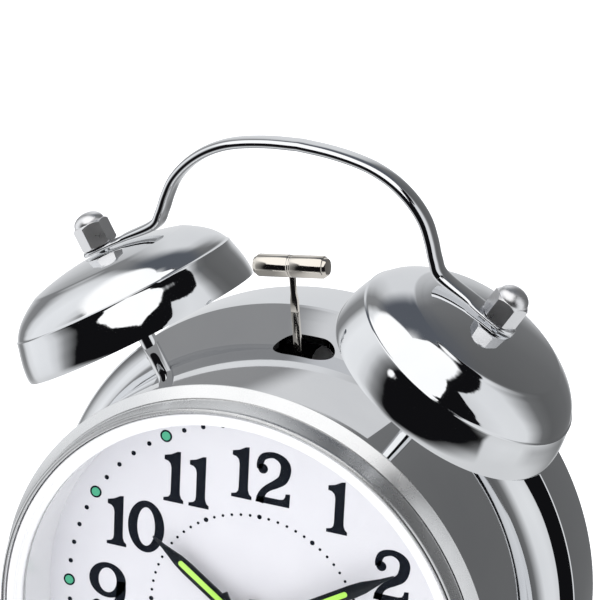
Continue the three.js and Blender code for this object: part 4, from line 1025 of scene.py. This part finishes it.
def studioPattern(tree):
    spot = tree.nodes.new("ShaderNodeTexCoord")
    split = tree.nodes.new("ShaderNodeSeparateXYZ")
    tree.links.new(spot.outputs["Generated"], split.inputs["Vector"])
    x, y, z = split.outputs
    cloth = tree.nodes.new("ShaderNodeTexNoise")
    cloth.inputs["Scale"].default_value = 22
    cloth.inputs["Detail"].default_value = 5
    tree.links.new(spot.outputs["Generated"], cloth.inputs["Vector"])
    shake = value(tree, "MULTIPLY", value(tree, "SUBTRACT", cloth.outputs["Fac"], 0.5), studio["ragged"])
    bearing = value(tree, "DEGREES", value(tree, "ARCTAN2", x, value(tree, "MULTIPLY", y, -1)))
    height = value(tree, "DEGREES", value(tree, "ARCSINE", z))
    around = value(tree, "ADD", value(tree, "DIVIDE", bearing, 360), 0.5)
    rough = value(tree, "ADD", height, shake)
    walls = roundRamp(tree, around, [(a, (v * 0.985, v, v * 1.02)) for a, v in studio["walls"]])
    edges = roundRamp(tree, around, [(a, (top / 90, soft / 90, foot / 180 + 0.5))
                                     for a, top, soft, foot in studio["edges"]])
    parts = tree.nodes.new("ShaderNodeSeparateColor")
    tree.links.new(edges, parts.inputs["Color"])
    top = value(tree, "MULTIPLY", parts.outputs[0], 90)
    soft = value(tree, "MULTIPLY", parts.outputs[1], 45)
    foot = value(tree, "MULTIPLY", value(tree, "SUBTRACT", parts.outputs[2], 0.5), 180)
    roof = stepped(tree, rough, value(tree, "SUBTRACT", top, soft), value(tree, "ADD", top, soft))
    ground = stepped(tree, value(tree, "MULTIPLY", height, -1), 24, 50)
    side = value(tree, "ABSOLUTE", bearing)
    rear = value(tree, "MULTIPLY", stepped(tree, height, 42, 60), stepped(tree, side, 108, 128))
    turned = value(tree, "ADD", bearing, shake)
    screen = value(tree, "MULTIPLY", value(tree, "SUBTRACT", 1, roof),
                   stepped(tree, rough, value(tree, "SUBTRACT", foot, 1), value(tree, "ADD", foot, 1)))
    screen = value(tree, "MULTIPLY", screen, stepped(tree, turned, -37, -34))
    screen = value(tree, "MULTIPLY", screen,
                   value(tree, "SUBTRACT", 1, stepped(tree, turned, 114, 124)))
    colour = blended(tree, ground, walls, studio["ground"])
    colour = blended(tree, rear, colour, studio["slate"])
    colour = blended(tree, roof, colour, (studio["ceiling"],) * 3)
    return blended(tree, screen, colour, studio["dark"])


def makeWorld():
    world = bpy.data.worlds.new("studio")
    world.use_nodes = True
    tree = world.node_tree
    pattern = studioPattern(tree)
    rays = tree.nodes.new("ShaderNodeLightPath")
    towards = tree.nodes.new("ShaderNodeVectorMath")
    towards.operation = "DOT_PRODUCT"
    towards.inputs[1].default_value = Vector(studio["key"]).normalized()
    spot = tree.nodes.new("ShaderNodeTexCoord")
    tree.links.new(spot.outputs["Generated"], towards.inputs[0])
    gentle = blended(tree, stepped(tree, towards.outputs["Value"], -0.5, 0.95), *studio["soft"])
    colour = blended(tree, rays.outputs["Is Diffuse Ray"], pattern, gentle)
    colour = blended(tree, rays.outputs["Is Camera Ray"], colour, (1, 1, 1))
    tree.links.new(colour, tree.nodes["Background"].inputs["Color"])
    world.cycles.sampling_method = "NONE"
    bpy.context.scene.world = world
    bpy.context.scene.view_settings.view_transform = "Standard"


def makeFloor():
    bm = bmesh.new()
    bmesh.ops.create_grid(bm, x_segments=1, y_segments=1, size=studio["floorSize"] / 2)
    mesh = bpy.data.meshes.new("floor")
    bm.to_mesh(mesh)
    bm.free()
    floor = bpy.data.objects.new("floor", mesh)
    floor.location = (0, 0, cadBox[0].z)
    bpy.context.scene.collection.objects.link(floor)
    look, tree, shader = newLook("floorPaper", Roughness=0.9, Specular_IOR_Level=0.1)
    shader.inputs["Base Color"].default_value = studio["floorTint"]
    shader.inputs["Emission Color"].default_value = (1, 1, 1, 1)
    shader.inputs["Emission Strength"].default_value = studio["floorLift"]
    rays = tree.nodes.new("ShaderNodeLightPath")
    unseen = tree.nodes.new("ShaderNodeBsdfTransparent")
    mix = tree.nodes.new("ShaderNodeMixShader")
    tree.links.new(rays.outputs["Is Glossy Ray"], mix.inputs["Fac"])
    tree.links.new(shader.outputs["BSDF"], mix.inputs[1])
    tree.links.new(unseen.outputs["BSDF"], mix.inputs[2])
    tree.links.new(mix.outputs["Shader"], tree.nodes["Material Output"].inputs["Surface"])
    mesh.materials.append(look)


cardShape = {
    "front": (56.0, 2.0),      # radius and depth of the slanted card's two edges
    "back": (63.5, 34.0),
    "angles": (-46, 26),
    "steps": 48,
    "fade": (-9, 1),
    "levels": (0.29, 0.70),
}


def makeCard():   # a curved grey card over the case, seen only in mirrors
    bm = bmesh.new()
    steps = cardShape["steps"]
    low, high = cardShape["angles"]
    rows = []
    for i in range(steps + 1):
        angle = math.radians(low + (high - low) * i / steps)
        rows.append([bm.verts.new((radius * math.sin(angle), depth, radius * math.cos(angle)))
                     for radius, depth in (cardShape["front"], cardShape["back"])])
    for first, second in zip(rows, rows[1:]):
        bm.faces.new((first[0], first[1], second[1], second[0]))
    bm.transform(fromDial())
    mesh = bpy.data.meshes.new("greyCard")
    bm.to_mesh(mesh)
    bm.free()
    look, tree, shader = newLook("cardGrey", Roughness=1.0, Specular_IOR_Level=0.0)
    spot = tree.nodes.new("ShaderNodeTexCoord")
    split = tree.nodes.new("ShaderNodeSeparateXYZ")
    tree.links.new(spot.outputs["Object"], split.inputs["Vector"])
    reach = cardShape["back"][0] * mm
    fade = [reach * math.sin(math.radians(a)) for a in cardShape["fade"]]
    share = stepped(tree, split.outputs["X"], *fade)
    dark, light = ((level * 0.99, level, level * 1.02) for level in cardShape["levels"])
    tree.links.new(blended(tree, share, dark, light), shader.inputs["Emission Color"])
    shader.inputs["Emission Strength"].default_value = 1.0
    shader.inputs["Base Color"].default_value = (0, 0, 0, 1)
    mesh.materials.append(look)
    card = bpy.data.objects.new("greyCard", mesh)
    bpy.context.scene.collection.objects.link(card)
    card.visible_camera = card.visible_diffuse = card.visible_shadow = False
    card.visible_transmission = False


makeWorld()
makeFloor()
makeCard()
for piece in bpy.data.objects:
    if piece.name in ("bell_left_shell", "bell_right_shell", "handleBar", "hammerHead", "hammerStem"):
        piece.visible_glossy = False
print("studio made")
